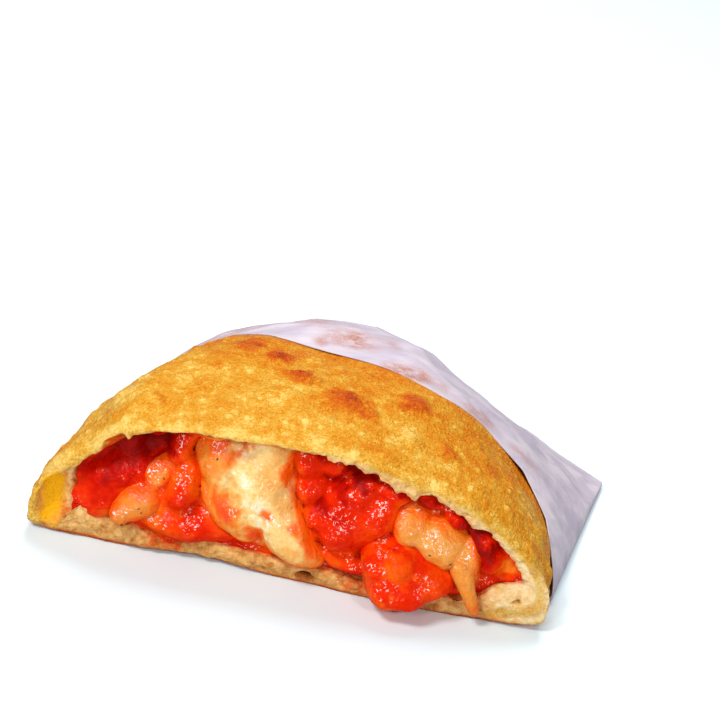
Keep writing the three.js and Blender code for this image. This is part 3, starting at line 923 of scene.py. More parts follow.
    def section(self, y: Array, grow: float = 0.0) -> tuple[Array, Array, Array, Array]:
        """Gives the dough's section at a depth.

        The top is a parabola in front of the crown, and behind it falls as one less a square,
        to a power.

        Args:
            y: depth behind the cut.
            grow: how far out of the surface to go.

        Returns:
            How much of its full width is left, left edge, right edge and top.
        """
        depth = self.depth + grow
        reach = held(y / depth)
        left, right = self.edges(reach, -self.width / 2.0 - grow, self.width / 2.0 + grow)
        before = (self.crown_depth - y) / self.crown_depth
        beyond = np.maximum(0.0, (y - self.crown_depth) / (depth - self.crown_depth))
        near = self.crown_height - (self.crown_height - self.cut_height) * before**2
        fall = np.maximum(0.0, 1.0 - beyond**2) ** self.crown_fall
        far = mix(self.far_level, self.crown_height, fall)
        return np.sqrt(1.0 - reach**2), left, right, np.where(y < self.crown_depth, near, far) + grow

    def swell(self, x: Array, y: Array) -> Array:
        """Long swells of the top: a product of two sines plus half a slanting one."""
        crossed = np.sin(x / 9.0 + 1.3) * np.sin(y / 11.0 + 0.4)
        return self.swell_height * (crossed + 0.5 * np.sin(x / 5.5 - y / 7.0))

    def lift(self, x: Array, y: Array) -> Array:
        """How far the underside stands off the floor: over the paper, and at its arch in front.

        Args:
            x: place across.
            y: depth behind the cut.

        Returns:
            Heights off the floor.
        """
        (seam_x, seam_y), (fold_x, fold_y) = self.bed_line
        slope = (fold_y - seam_y) / (fold_x - seam_x)
        behind = (y - seam_y - (x - seam_x) * slope) / math.hypot(1.0, slope)
        arch = ease(self.arch_half_width - np.abs(x - self.arch_x), 0.0, self.arch_half_width)
        paper = self.bed * ease(behind + self.bed_margin, 0.0, self.bed_ease)
        return paper + self.arch_height * arch * (1.0 - ease(y, 0.0, self.arch_depth))

    def rounded(self, x: Array, y: Array, angle: Array, narrowing: Array, levels: tuple) -> Array:
        """Points round a section: the dome and its swells on top, and the belly below.

        Args:
            x: place across.
            y: depth behind the cut.
            angle: angle round the section.
            narrowing: how much of its full width is left.
            levels: heights of the dome's top, of the widest line, and of the belly.

        Returns:
            Points.
        """
        top, side, below = levels
        across = np.clip(np.cos(angle), -1.0, 1.0)
        above = side + (top - side) * self.dome_share(across, held(y / self.depth))
        up = np.maximum(0.0, np.sin(angle))
        z = np.where(np.sin(angle) >= 0.0, above, below) + self.swell(x, y) * up * narrowing
        return np.stack(np.broadcast_arrays(x, y, z), axis=-1)

    def outer(self, y: Array, angle: Array) -> Array:
        """Points of the dough's outer surface.

        Round a section x follows the cosine of the angle. Above the widest line z is the dome's
        share of the top, and below it the line's height less a power of the sine squared.

        Args:
            y: depth behind the cut.
            angle: angle round the section, 0 at the fold and a quarter turn on top.

        Returns:
            Points.
        """
        narrowing, left, right, top = self.section(y)
        from_left = (np.cos(angle) + 1.0) / 2.0
        x = mix(left, right, from_left)
        level = mix(self.seam_level, self.fold_level, from_left)
        side = mix(self.far_level, level, narrowing)
        rise = np.maximum(0.0, 1.0 - self.floor_reach * narrowing**self.floor_curve)
        floor = self.far_level * rise + self.lift(x, y)
        belly = np.minimum(1.0, self.under_flat * (np.sin(angle) ** 2) ** self.under_fullness)
        return self.rounded(x, y, angle, narrowing, (top, side, side - (side - floor) * belly))

    def hollow(self, y: Array, angle: Array, shrink: Array | float = 0.0) -> Array:
        """Points of the filled hollow's surface, made as the outer surface is.

        Args:
            y: depth behind the cut.
            angle: angle round the section.
            shrink: how far inside the hollow to stay.

        Returns:
            Points.
        """
        reach = held(y / self.hollow_depth)
        narrowing = np.sqrt(1.0 - reach**2)
        from_left = (np.cos(angle) + 1.0) / 2.0
        left_wall = -self.width / 2.0 + self.hollow_seam_wall + shrink
        left, right = self.edges(reach, left_wall, self.width / 2.0 - self.hollow_fold_wall - shrink)
        x = mix(left, right, from_left)
        level = mix(self.hollow_seam_level, self.hollow_fold_level, from_left)
        side = mix(self.hollow_far_level, level, narrowing)
        roof = self.section(y)[3] - self.hollow_skin
        top = mix(self.hollow_far_level, roof, narrowing**self.hollow_top_fall) - shrink
        floor = mix(self.hollow_far_level, self.hollow_base, narrowing**self.hollow_floor_rise) + shrink
        to_fold = np.sqrt(held(from_left))
        fullness = mix(self.hollow_seam_fullness, self.hollow_fold_fullness, to_fold)
        below = side - (side - floor) * (np.sin(angle) ** 2) ** fullness
        return self.rounded(x, y, angle, narrowing, (top, side, below))

    def angles(self, count: int, under_weight: float) -> Array:
        """Spaces angles evenly along the cut's outline, fewer of them underneath.

        Args:
            count: how many angles to give.
            under_weight: how closely they stand on the underside, where 1 is as on top.

        Returns:
            The angles, from 0 round to a full turn.
        """
        dense = np.linspace(0.0, 2.0 * np.pi, self.outline_steps + 1)
        outline = self.outer(np.zeros(1), dense)
        weight = np.where(np.sin(dense) >= 0.0, 1.0, under_weight)
        places = evenly(outline, count, weight, closed=True)
        return np.interp(places, np.arange(len(dense)), dense)

    def wave(self, rings: Array) -> Array:
        """How far the cut's edge wanders in y: waves that fade with depth, and a ledge at the base."""
        fade = np.exp(-np.maximum(rings[..., 1], 0.0) / 6.0)
        flat = rings * np.array([1.0, 0.0, 1.0])
        ledge = ease(rings[..., 0], -15.0, 30.0) * (1.0 - ease(rings[..., 2], 7.0, 16.0))
        return fade * (0.5 * rolling(flat, 15.0, 401) + 0.22 * rolling(flat, 4.0, 402) - 1.6 * ledge)

    def skin_relief(self, rings: Array) -> Array:
        """Adds up the skin's relief, from long dents to fine bubbles.

        Args:
            rings: points of the outer surface.

        Returns:
            How far each point moves outward.
        """
        relief = 0.5 * rough(rings, 24.0, 2, 11)
        relief += 1.1 * Scatter(9.0, 2.4, 4.6, 0.6, 21).height(rings)
        relief -= 0.8 * Scatter(12.0, 2.5, 5.0, 0.5, 31).height(rings)
        relief += 0.42 * self.bubbles.height(rings)
        relief += 0.22 * rolling(rings, 2.0, 51)
        for blister in self.blisters:
            relief += blister.rise * self.patch(rings, blister)
        aside = (rings[..., :2] - np.array(self.shoulder_place)) / np.array(self.shoulder_reach)
        relief += self.shoulder_rise * np.exp(-(aside**2).sum(axis=-1))
        low = ease(rings[..., 2], 1.0, 7.0)
        mouth_x, mouth_y = np.array(SLEEVE_MOUTH).T
        behind = rings[..., 1] - np.interp(rings[..., 0], mouth_x, mouth_y)
        wrapped = ease(behind, -5.0, 0.0)
        return (relief - 0.5) * mix(0.25, 1.0, low) * mix(1.0, self.paper_shelter, wrapped)

    def patch(self, rings: Array, blister: Blister) -> Array:
        """Shape of one blister seen from above: (1 - distance squared) squared, ragged by noise."""
        away = np.hypot(rings[..., 0] - blister.x, rings[..., 1] - blister.y) / blister.reach
        away = away * (1.0 + 0.35 * rolling(rings, 3.4, 61)) + 0.12 * rolling(rings, 1.6, 62)
        return held(1.0 - away**2) ** 2 * (rings[..., 2] > 12.0)

    def toast(self, rings: Array) -> Array:
        """How dark the skin is fried: palest near the cut, darkest at the paper and the fold.

        Args:
            rings: points of the outer surface.

        Returns:
            Darkness from 0 to 1.
        """
        x, y, z = np.moveaxis(rings, -1, 0)
        toast = 0.27 + 0.2 * ease(y, 20.0, 52.0) + 0.1 * ease(x, 20.0, 62.0)
        toast += 0.16 * ease(-x, 60.0, 71.0) - 0.08 * ease(-x, 26.0, 54.0)
        toast += 0.12 * rough(rings, 16.0, 2, 71) + 0.1 * rolling(rings, 5.0, 72)
        toast -= 0.14 * (1.0 - ease(y, 0.0, 6.0))
        toast -= 0.28 * self.bubbles.height(rings)
        for blister in self.blisters:
            toast += blister.toast * self.patch(rings, blister) ** 0.5
        toast = mix(0.72 + 0.1 * rolling(rings, 6.0, 73), toast, ease(z, 1.0, 5.0))
        return np.clip(toast, 0.03, 1.0)

    def grid(self) -> tuple[Array, Array]:
        """Lays out the crust's rings of points, without their relief.

        They run from the far end along the outer surface to the cut, across the crumb, and back
        along the hollow. The crumb bulges by a half sine between its two edges, and noise bites
        its torn upper edge.

        Returns:
            The rings, and the opening's edge on the cut.
        """
        angle = self.angles(self.around, 0.4)[None]
        turn = np.linspace(0.0, math.acos(self.front_length / self.depth), self.far_rings + 1)[:-1]
        ahead = np.linspace(self.front_length, 0.0, self.front_rings)
        outer_y = np.concatenate([self.depth * np.cos(turn), ahead])[:, None]
        outer_y[0] = self.depth
        outer = self.outer(outer_y, angle)
        edge = self.wall(np.zeros(1), angle)
        nibbles = 0.5 * rolling(edge, 2.6, 81) + 0.28 * rolling(edge, 1.1, 83)
        nibbles *= self.torn(edge) * mix(0.7, 1.5, self.to_right(edge))
        lip_y = np.linspace(0.0, self.funnel, self.lip_rings + 1)[:-1]
        turn_in = np.linspace(0.0, np.pi / 2.0, self.hollow_rings)
        deep_y = mix(self.funnel, self.hollow_depth, (1.0 - np.cos(turn_in)) ** 1.15)
        inner_y = np.minimum(np.concatenate([lip_y, deep_y]), self.hollow_depth)[:, None]
        inner = self.wall(inner_y, angle)
        inner[..., 2] += nibbles * np.exp(-inner_y / 2.0)
        share = np.linspace(0.0, 1.0, self.rim_rings + 2)[1:-1][:, None]
        rim = mix(outer[-1:], inner[:1], share[..., None])
        rim[..., 1] -= self.rim_proud * np.sin(np.pi * share)
        return np.concatenate([outer, rim, inner]), edge

    def torn(self, edge: Array) -> Array:
        """How far a point of the opening's edge belongs to its torn upper part."""
        return ease(edge[..., 2], 14.0, 24.0)

    def to_right(self, edge: Array) -> Array:
        """How far a point of the opening's edge lies to the right of the middle."""
        return ease(edge[..., 0], 0.0, 8.0)

    def holes(self, rings: Array) -> tuple[Array, Array]:
        """Works out the named pits in the crumb.

        Args:
            rings: points.

        Returns:
            How deep each point lies in a pit, and how much painted shade falls in it.
        """
        deep, dark = np.zeros(rings.shape[:-1]), np.zeros(rings.shape[:-1])
        for pit in self.pits:
            away = np.hypot(rings[..., 0] - pit.x, (rings[..., 2] - pit.z) * 1.5) / pit.reach
            dip = held(1.0 - away**2 * (1.0 + 0.4 * rolling(rings, 1.7, 93)))
            # The darkness is painted shade inside the pit.
            deep, dark = np.maximum(deep, pit.depth * dip), np.maximum(dark, 0.7 * dip)
        return deep, dark

    @property
    def rim_start(self) -> int:
        """Number of the first ring of the crumb on the cut."""
        return self.far_rings + self.front_rings

    def fried(self, rings: Array, rows: Array, torn_left: Array) -> tuple[Array, Array]:
        """Works out how dark each point is fried, on the cut too, with painted shade inside the torn lip at
        the sealed end.

        Args:
            rings: points before their relief.
            rows: number of each ring.
            torn_left: how far each column belongs to the opening's torn edge at the left.

        Returns:
            The darkness, and how golden the skin makes the cut at each point.
        """
        rim_start, rim_end = self.rim_start, self.rim_start + self.rim_rings
        rim_place = (rows - rim_start) / self.rim_rings
        band = ease(rim_place, 0.1, 0.25) * (1.0 - ease(rim_place, 0.4, 0.55))
        x = rings[..., 0]
        band = 0.75 * band * ease(x, self.band_start, self.band_start + 8.0)
        band = np.maximum(band, ease(-x, 65.0, 67.5) * (rows < rim_end))
        # At the sealed end the inside of the torn lip turns dark brown: partly the skin's own browning,
        # partly painted shade under the lip.
        browned_and_shaded = ease(-x, 41.0, 45.0)
        lip = torn_left * mix(0.7 * (rows < rim_end + 2), 1.0 * (rows < rim_end + 20), browned_and_shaded)
        golden = held(np.maximum(band, lip))
        toast = self.toast(rings)
        inside = ease(rows, rim_end, rim_end + 6)
        return np.where(rows >= rim_start, mix(toast, mix(0.12, 0.7, inside), golden), toast), golden

    def build(self, shop: Workshop) -> None:
        """Makes the crust as one closed mesh, and lets it stand for its solid.

        Args:
            shop: where pieces are made.
        """
        rings, edge = self.grid()
        top_edge = self.torn(edge)
        torn_left = top_edge * (1.0 - self.to_right(edge))
        rows = np.arange(len(rings))[:, None]
        rim_start, rim_end = self.rim_start, self.rim_start + self.rim_rings
        skin_share = 1.0 - ease(rows, rim_start - 3, rim_start + 1)
        crumb_share = (1.0 - skin_share) * (1.0 - 0.6 * ease(rows, rim_end + 12, rim_end + 18))
        floor_edge = ease(rings[..., 2], 0.6, 2.4)
        crumb_share = crumb_share * mix(ease(rows, rim_start, rim_start + 5), 1.0, floor_edge)
        crumb_share = crumb_share * mix(1.0, ease(rows, rim_start + 3, rim_start + 9), top_edge)

        pores = Scatter(2.4, 0.6, 1.3, 0.6, 91).height(rings)
        deep, dark = self.holes(rings)
        film = self.near(rings, self.film_place, self.film_reach, 94) * (rows >= rim_start + 2)
        column = self.near(rings, self.column_place, self.column_reach, 96) * (rows >= rim_start)
        # Paler crumb: at the fold end it is the crumb's own paler colour; high on the cut it is partly that
        # and partly painted light against the shade under the lip.
        paler_with_painted_light = 0.16 * ease(edge[..., 2], 6.0, 14.0) + 0.12 * ease(rings[..., 0], 50.0, 58.0)
        # The pit mark darkens the crumb: painted shade in the pits and pores, random tone from the noise,
        # less where the crumb is paler.
        pit = np.maximum(0.3 * pores, dark) + 0.13 - paler_with_painted_light + 0.16 * rolling(rings, 5.0, 98)
        pit = pit - 0.2 * column
        crumb_relief = 0.9 * rough(rings, 2.8, 2, 92) - 0.8 * pores - deep
        crumb_relief *= mix(1.0, 0.45, ease(rows, rim_end, rim_end + 3))
        crumb_relief = mix(crumb_relief, -0.6, film * (1.0 - column)) * crumb_share
        crumb_relief *= mix(1.0, 0.35, torn_left)
        moved = self.skin_relief(rings) * skin_share + crumb_relief
        moved[0], moved[-1] = moved[0, 0], moved[-1, 0]
        toast, golden = self.fried(rings, rows, torn_left)

        depth_in = np.maximum(rings[..., 1], 0.0)
        rings = rings + ring_normals(rings) * moved[..., None]
        rings[..., 1] += self.wave(rings) * ease(rows, 0, 30)
        rings[..., 1] -= self.column_proud * column * (rows >= rim_end)
        rings[..., 2] = np.maximum(rings[..., 2], 0.0)
        rings[0], rings[-1] = rings[0].mean(axis=0), rings[-1].mean(axis=0)

        soaked = 0.35 + 0.5 * rolling(rings, 7.0, 95) + 0.13 * depth_in + 0.6 * torn_left
        inner_share = ease(rows, rim_start + 0.6 * self.rim_rings, rim_end + 3)
        base_run = ease(-np.abs(rings[..., 0] - 19.0), -7.0, -2.0) * (rings[..., 2] < 12.0)
        overflow = self.near(rings, self.overflow_place, self.overflow_reach, 97)
        spilt = np.maximum(0.8 * base_run, overflow) * crumb_share
        stain = np.maximum(inner_share * held(soaked), spilt)
        marks = {
            "toast": toast,
            "crumb": crumb_share * (1.0 - golden),
            "pit": pit * crumb_share,
            "stain": stain * (1.0 - np.maximum(film, 0.85 * column)),
            "amber": film * (1.0 - column) + 0.2 * column,
        }
        crust = shop.make("blistered_crust", rings, marks, Finish.CRUST)
        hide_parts("crust")

    def wall(self, y: Array, angle: Array, shrink: float = 0.0) -> Array:
        """Points of the wall round the filling.

        On the cut it follows the opening's torn upper edge and the crumb's edge below it, both
        by x, and behind the cut it eases into the hollow.

        Args:
            y: depth behind the cut.
            angle: angle round the section.
            shrink: how far inside the wall to stay.

        Returns:
            Points.
        """
        upper_x, upper_z = np.array(self.opening_top).T
        lower_x, lower_z = np.array(self.opening_base).T
        x = mix(upper_x[0] + shrink, upper_x[-1] - shrink, (np.cos(angle) + 1.0) / 2.0)
        upper, lower = np.interp(x, upper_x, upper_z) - shrink, np.interp(x, lower_x, lower_z) + shrink
        z = np.where(np.sin(angle) >= 0.0, upper, np.minimum(upper, lower))
        opening = np.stack([x, 0.0 * x, z], axis=-1)
        points = mix(opening, self.hollow(y, angle, shrink), ease(y, 0.0, self.funnel)[..., None])
        points[..., 1] = y
        return points

    def near(self, rings: Array, middle: Pair, reach: Pair, seed: int) -> Array:
        """Covers an ellipse on the cut: 1 inside it, easing to 0 round it, ragged by noise."""
        away = np.hypot((rings[..., 0] - middle[0]) / reach[0], (rings[..., 2] - middle[1]) / reach[1])
        return 1.0 - ease(away + 0.25 * rolling(rings, 3.0, seed), 0.65, 1.1)


# ---- filling

TOWARD_LIGHT = np.array([-0.26, -0.72, 0.64])


@dataclass(frozen=True)
class Spot:
    """A patch on the cut's face, drawn out down to the right: a stain, a tint, a painted sheen, painted shade
    or an orange patch.
    """

    x: float
    z: float
    reach: float
    strength: float
    stretch: float = 1.35

    def cover(self, rings: Array) -> Array:
        """How strongly it covers each point: (1 - distance squared) clipped at 0, ragged by noise."""
        x, z = rings[..., 0] - self.x, rings[..., 2] - self.z
        away = np.hypot((0.7 * x - 0.71 * z) / self.stretch, 0.71 * x + 0.7 * z) / self.reach
        away = away * (1.0 + 0.6 * rolling(rings, 2.6, 501)) + 0.12 * rolling(rings, 1.2, 502)
        return self.strength * held(1.0 - away**2)


@dataclass(frozen=True)
class Mound:
    """A rounded swelling of the filling on the cut's face: an ellipse with its turn and height."""

    x: float
    z: float
    long: float
    wide: float
    turn: float
    proud: float

    def height(self, x: Array, z: Array) -> Array:
        """How far it stands proud: its height times (1 - distance squared) to the power 0.75."""
        cosine, sine = math.cos(math.radians(self.turn)), math.sin(math.radians(self.turn))
        along = ((x - self.x) * cosine + (z - self.z) * sine) / self.long
        across = ((z - self.z) * cosine - (x - self.x) * sine) / self.wide
        return self.proud * held(1.0 - along**2 - across**2) ** 0.75


def covered(spots: tuple[Spot, ...], rings: Array) -> Array:
    """Adds up how strongly spots cover each point."""
    return sum(spot.cover(rings) for spot in spots)


def away_from(line: Line, count: int, x: Array, z: Array) -> Array:
    """Distance on the cut's face to the nearest of a count of points of a smooth curve."""
    flat = np.stack([x, z], axis=-1)[..., None, :]
    return np.linalg.norm(flat - smooth_curve(np.array(line), count), axis=-1).min(axis=-1)


def heaped(mounds: tuple[Mound, ...], x: Array, z: Array) -> Array:
    """Melts mounds into each other: the cube root of the sum of the cubes of their heights."""
    return sum(mound.height(x, z) ** 3 for mound in mounds) ** (1.0 / 3.0)


def painted_glint_mask(rings: Array) -> Array:
    """How far a surface is turned to the light, up and to the left in front: 0, easing to 1. It places the
    painted highlights.
    """
    return ease(np.abs(ring_normals(rings) @ TOWARD_LIGHT), 0.72, 0.96)


def bed_depth(x: Array, z: Array) -> Array:
    """How far behind the cut the filling lies before its lumps: deepest high up at the sealed edge."""
    shelf = 3.5 + 6.5 * ease(-x, 5.0, 45.0)
    return 0.9 + 1.5 * ease(z, 8.0, 16.0) + shelf * ease(z, 14.0, 36.0)


@dataclass(frozen=True)
class FillingPiece:
    """One lump of filling: its outline on the cut's face, rounded at its edge and run back inside."""

    name: str
    proud: float
    roll: float
    back: float
    tone: float
    around: int
    face_rings: int
    outline: Line
    taper: float = 0.7
    tail_rings: int = 12

    def edge(self, count: int) -> Array:
        """Its smooth outline as x and z."""
        return smooth_curve(np.array(self.outline), count, closed=True)

    def rings(self, depth: Callable[[Array, Array], Array]) -> Array:
        """Works out its surface.

        The outline is drawn in towards its middle by the sine of a turn from 0 to a quarter.
        The face stands in front of the filling's depth and rolls back round its edge as a
        quarter circle does. Behind it, the outline tapers.

        Args:
            depth: gives the depth of the face at x and z.

        Returns:
            Rings of points from the face's middle to the middle of the back.
        """
        edge = self.edge(self.around)
        middle = edge.mean(axis=0)
        turn = np.linspace(0.0, np.pi / 2.0, self.face_rings)
        flat = middle + (edge[None] - middle) * np.sin(turn)[:, None, None]
        inset = held(inside_by(flat, edge) / self.roll)
        rolled = self.roll * (1.0 - np.sqrt(1.0 - (1.0 - inset) ** 2))
        y = depth(flat[..., 0], flat[..., 1]) - self.proud * ease(inset, 0.0, 1.0) + rolled
        face = np.stack([flat[..., 0], y, flat[..., 1]], axis=-1)
        back_share = np.linspace(0.0, 1.0, self.tail_rings)[1:, None]
        share = np.concatenate([mix(1.0, self.taper, back_share), [[0.0]]])[..., None]
        tail = middle + (edge[None] - middle) * share
        tail_y = mix(y[-1:], self.back, np.concatenate([back_share, [[1.0]]]))
        return np.concatenate([face, np.stack([tail[..., 0], tail_y, tail[..., 1]], axis=-1)])

    def moved(self, rings: Array, relief: Array) -> Array:
        """Moves rings of points along their normals, and keeps both ends single points.

        Args:
            rings: points.
            relief: how far each moves outward.

        Returns:
            The moved points.
        """
        result = rings + ring_normals(rings) * relief[..., None]
        result[0] = result[1].mean(axis=0)
        result[-1] = rings[-1].mean(axis=0)
        return result


@dataclass
class MozzarellaMelt:
    """The melted cheese: three pulled tongues, a small bit and a drip."""

    pieces: tuple[FillingPiece, ...] = (
        FillingPiece("mozzarella_middle", 0.4, 1.9, 52.0, 0.61, 250, 100, (
            (-31.5, 30), (-29, 25), (-27.5, 20), (-23, 14.5), (-17, 10.2), (-8, 7.2), (2, 5.6), (9, 5.6),
            (10.5, 9), (5.5, 15), (2.5, 21), (-0.5, 28), (-1.5, 35), (-2, 41), (-9, 42), (-17, 41),
            (-24, 38.5), (-29.5, 35),
        )),
        FillingPiece("mozzarella_right", 0.4, 1.5, 34.0, 0.38, 200, 76, (
            (25, 24), (26.5, 18.5), (31, 14.8), (35.5, 15.2), (38, 12.5), (43, 11.2), (46, 8.5), (50.5, 9),
            (51, 15), (50, 20), (47.5, 24.5), (42, 27.2), (35, 28.2), (30.5, 30.5), (26.5, 30),
        )),
        FillingPiece("mozzarella_left", 0.4, 1.5, 26.0, 0.19, 150, 56, (
            (-49.5, 9.5), (-48, 7.4), (-44, 7.6), (-40, 9.6), (-35.5, 10.4), (-35.2, 15.5), (-38, 19.5),
            (-41.5, 18.6), (-46, 17.6), (-48.5, 13.5),
        )),
        FillingPiece("mozzarella_bit", 0.1, 0.9, 16.0, 0.3, 110, 40, (
            (-41.5, 22), (-39, 18.4), (-35.2, 19), (-33, 23), (-33.6, 26.6), (-38, 26),
        )),
    )
    mounds: tuple[Mound, ...] = rows_of(Mound, (
        (-10, 35, 10, 7, -70, 4.6), (-21.5, 29.5, 10, 7.5, -50, 5.2), (-9.5, 23, 13, 8, -52, 5.6),
        (0, 13, 12, 7.5, -42, 6.4), (-17, 17.5, 11, 6.5, -42, 5.4), (-6.3, 29, 5.5, 3.4, 80, 5.4),
        (30, 23, 6.5, 5.6, 70, 7), (39, 20, 9, 6.6, -22, 8), (47, 17.5, 7, 4.6, 80, 6.6),
        (-42, 13.8, 8.5, 5.2, 38, 4.6), (-45.8, 11, 4, 3.6, 0, 4.6), (-37.3, 22.6, 4.8, 4.2, 30, 4),
    ))
    stains: tuple[Spot, ...] = rows_of(Spot, (
        (-20.2, 31.6, 4.4, 0.6), (-18.6, 18.4, 3.4, 1, 2.1), (-9.8, 12.6, 3.8, 1), (-25, 21, 3.6, 0.6, 2),
        (-13, 15.5, 3, 0.4), (47.5, 13.5, 2.2, 0.5, 2.2), (-4.4, 31.6, 3.4, 0.85), (-7.4, 20, 2.4, 0.8),
        (0.4, 17.6, 2.4, 0.8), (-22.6, 28, 3, 0.5), (-24, 36.5, 6.5, 0.85), (-18.5, 39.5, 5, 0.95),
        (-28.5, 32, 3.6, 0.5), (7, 7.6, 5, 0.55), (44, 17, 3.4, 0.4), (33, 27.5, 3.6, 0.55),
        (28, 29, 3, 0.5), (36.5, 14, 3, 0.35), (-38, 12, 3.6, 0.5), (-41, 17.5, 2.6, 0.4),
        (-36.5, 20, 3, 0.4),
    ))
    peaches: tuple[Spot, ...] = rows_of(Spot, (
        (-25, 30, 7, 0.36), (-21, 20, 8, 0.34), (2, 11, 9, 0.2), (48.5, 15, 4, 0.2),
    ))
    # Painted highlights: soft sheens, where the cream is lifted towards white.
    painted_sheens: tuple[Spot, ...] = rows_of(Spot, (
        (-14.6, 27.6, 2.4, 0.1), (-21.5, 26, 3.4, 0.4), (-3.8, 26.6, 2.6, 0.2), (34, 21, 4, 0.12),
    ))
    ridge: Line = (
        (-13, 38.5), (-14.9, 34.9), (-16.6, 29.7), (-14.8, 25.5), (-9.5, 19.2), (-3.6, 15.2), (3, 11.5),
    )
    valley: Line = ((-17.6, 37.5), (-18.6, 32.5), (-18.2, 27.5), (-19.2, 22))
    ridge_points: int = 40
    valley_points: int = 30
    valley_depth: float = 1.1
    valley_reach: float = 1.5
    drip_path: Triples = (
        (44.5, -0.8, 18), (47, -3.6, 13), (49.4, -4.8, 8.4), (51, -4.4, 5), (51.7, -3.2, 3.4),
    )
    drip_radius: tuple[float, ...] = (4.2, 3.0, 2.2, 1.8, 1.3)
    drip_around: int = 48
    drip_rings: int = 60
    outline_points: int = 80

    def depth(self, x: Array, z: Array) -> Array:
        """Depth of the cheese's face: the filling's bed less its mounds, with a valley pressed in."""
        near = away_from(self.valley, self.valley_points, x, z)
        pressed = self.valley_depth * np.exp(-((near / self.valley_reach) ** 2))
        return bed_depth(x, z) - heaped(self.mounds, x, z) + pressed

    def relief(self, rings: Array) -> Array:
        """Folds of pulled cheese: noise drawn out along the pull, broad lumps and small dimples.

        Args:
            rings: points in millimetres.

        Returns:
            How far each point moves outward.
        """
        pull = np.array([[0.94, 0.0, 0.34], [0.0, 1.0, 0.0], [-0.34, 0.0, 0.94]])
        along = rings @ pull.T
        folds = 0.4 * rolling(along, np.array([3.6, 6.0, 15.0]), 601)
        lumps = 0.5 * rolling(rings, 7.0, 602) + 0.14 * rolling(rings, 2.2, 603)
        return folds + lumps - 0.3 * Scatter(4.2, 0.8, 1.7, 0.4, 604).height(rings)

    def marks(self, rings: Array, inset: Array, tone: float) -> dict[str, Array]:
        """Works out the cheese's colour marks.

        Args:
            rings: points.
            inset: how far each lies inside the piece's outline.
            tone: how creamy the piece is.

        Returns:
            cream, which is brightest along the ridge as a painted highlight and at the painted sheens, and
            stain, which is strongest at the outline and in the named spots.
        """
        near = away_from(self.ridge, self.ridge_points, rings[..., 0], rings[..., 2])
        # Along the ridge the cream is raised: a painted highlight on the crest.
        cream = tone + 0.26 * (1.0 - ease(near, 1.0, 7.5)) + 0.14 * rolling(rings, 6.0, 611)
        # The sheens are painted highlight; the peaches are a tint of the cheese.
        cream += covered(self.painted_sheens, rings) - covered(self.peaches, rings)
        stain = 0.85 * (1.0 - ease(inset + 1.1 * rolling(rings, 3.4, 612), 0.6, 5.4))
        for spot in self.stains:
            stain = np.maximum(stain, spot.cover(rings))
        return {"cream": cream, "painted_glint_mask": painted_glint_mask(rings), "stain": stain}

    def build(self, shop: Workshop) -> Array:
        """Makes the cheese and lets each piece stand for its solid.

        Args:
            shop: where pieces are made.

        Returns:
            Points of the cheese's surface, for what sticks to it.
        """
        surface = []
        for piece in self.pieces:
            rings = piece.rings(self.depth)
            inset = inside_by(rings[..., [0, 2]], piece.edge(self.outline_points))
            moved = piece.moved(rings, self.relief(rings))
            marks = self.marks(moved, inset, piece.tone)
            melted = shop.make(f"{piece.name}_melt", moved, marks, Finish.CHEESE)
            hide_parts(piece.name)
            surface.append(moved[: piece.face_rings].reshape(-1, 3))
        self.build_drip(shop)
        return np.concatenate(surface)

    def build_drip(self, shop: Workshop) -> None:
        """Makes the drip: a round strand whose radius closes to nothing at both ends.

        Args:
            shop: where pieces are made.
        """
        path = smooth_curve(np.array(self.drip_path), self.drip_rings)
        tangent = unit(np.gradient(path, axis=0))
        across = unit(np.cross(np.array([1.0, 0.0, 0.0]), tangent))
        sideways = np.cross(tangent, across)
        along = np.linspace(0.0, 1.0, len(path))
        radius = np.interp(along, np.linspace(0.0, 1.0, len(self.drip_radius)), self.drip_radius)
        radius = radius * np.sqrt(np.maximum(0.0, 1.0 - (2.0 * along - 1.0) ** 6))
        turn = full_turn(self.drip_around)[None, :, None]
        spokes = across[:, None] * np.cos(turn) + sideways[:, None] * np.sin(turn)
        rings = path[:, None] + spokes * radius[:, None, None]
        rings = rings + spokes * (0.3 * rolling(rings, 4.0, 621) * (radius / 4.0)[:, None])[..., None]
        cream = 0.42 - 0.25 * along[:, None] + 0.1 * rolling(rings, 4.0, 622)
        stain = 0.2 + 0.45 * ease(along, 0.4, 0.9)[:, None] + 0.3 * rolling(rings, 3.0, 623)
        marks = {"cream": cream, "painted_glint_mask": 0.6 * painted_glint_mask(rings), "stain": stain}
        drip = shop.make("mozzarella_drip", rings, marks, Finish.CHEESE)
        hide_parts("mozzarella_right")


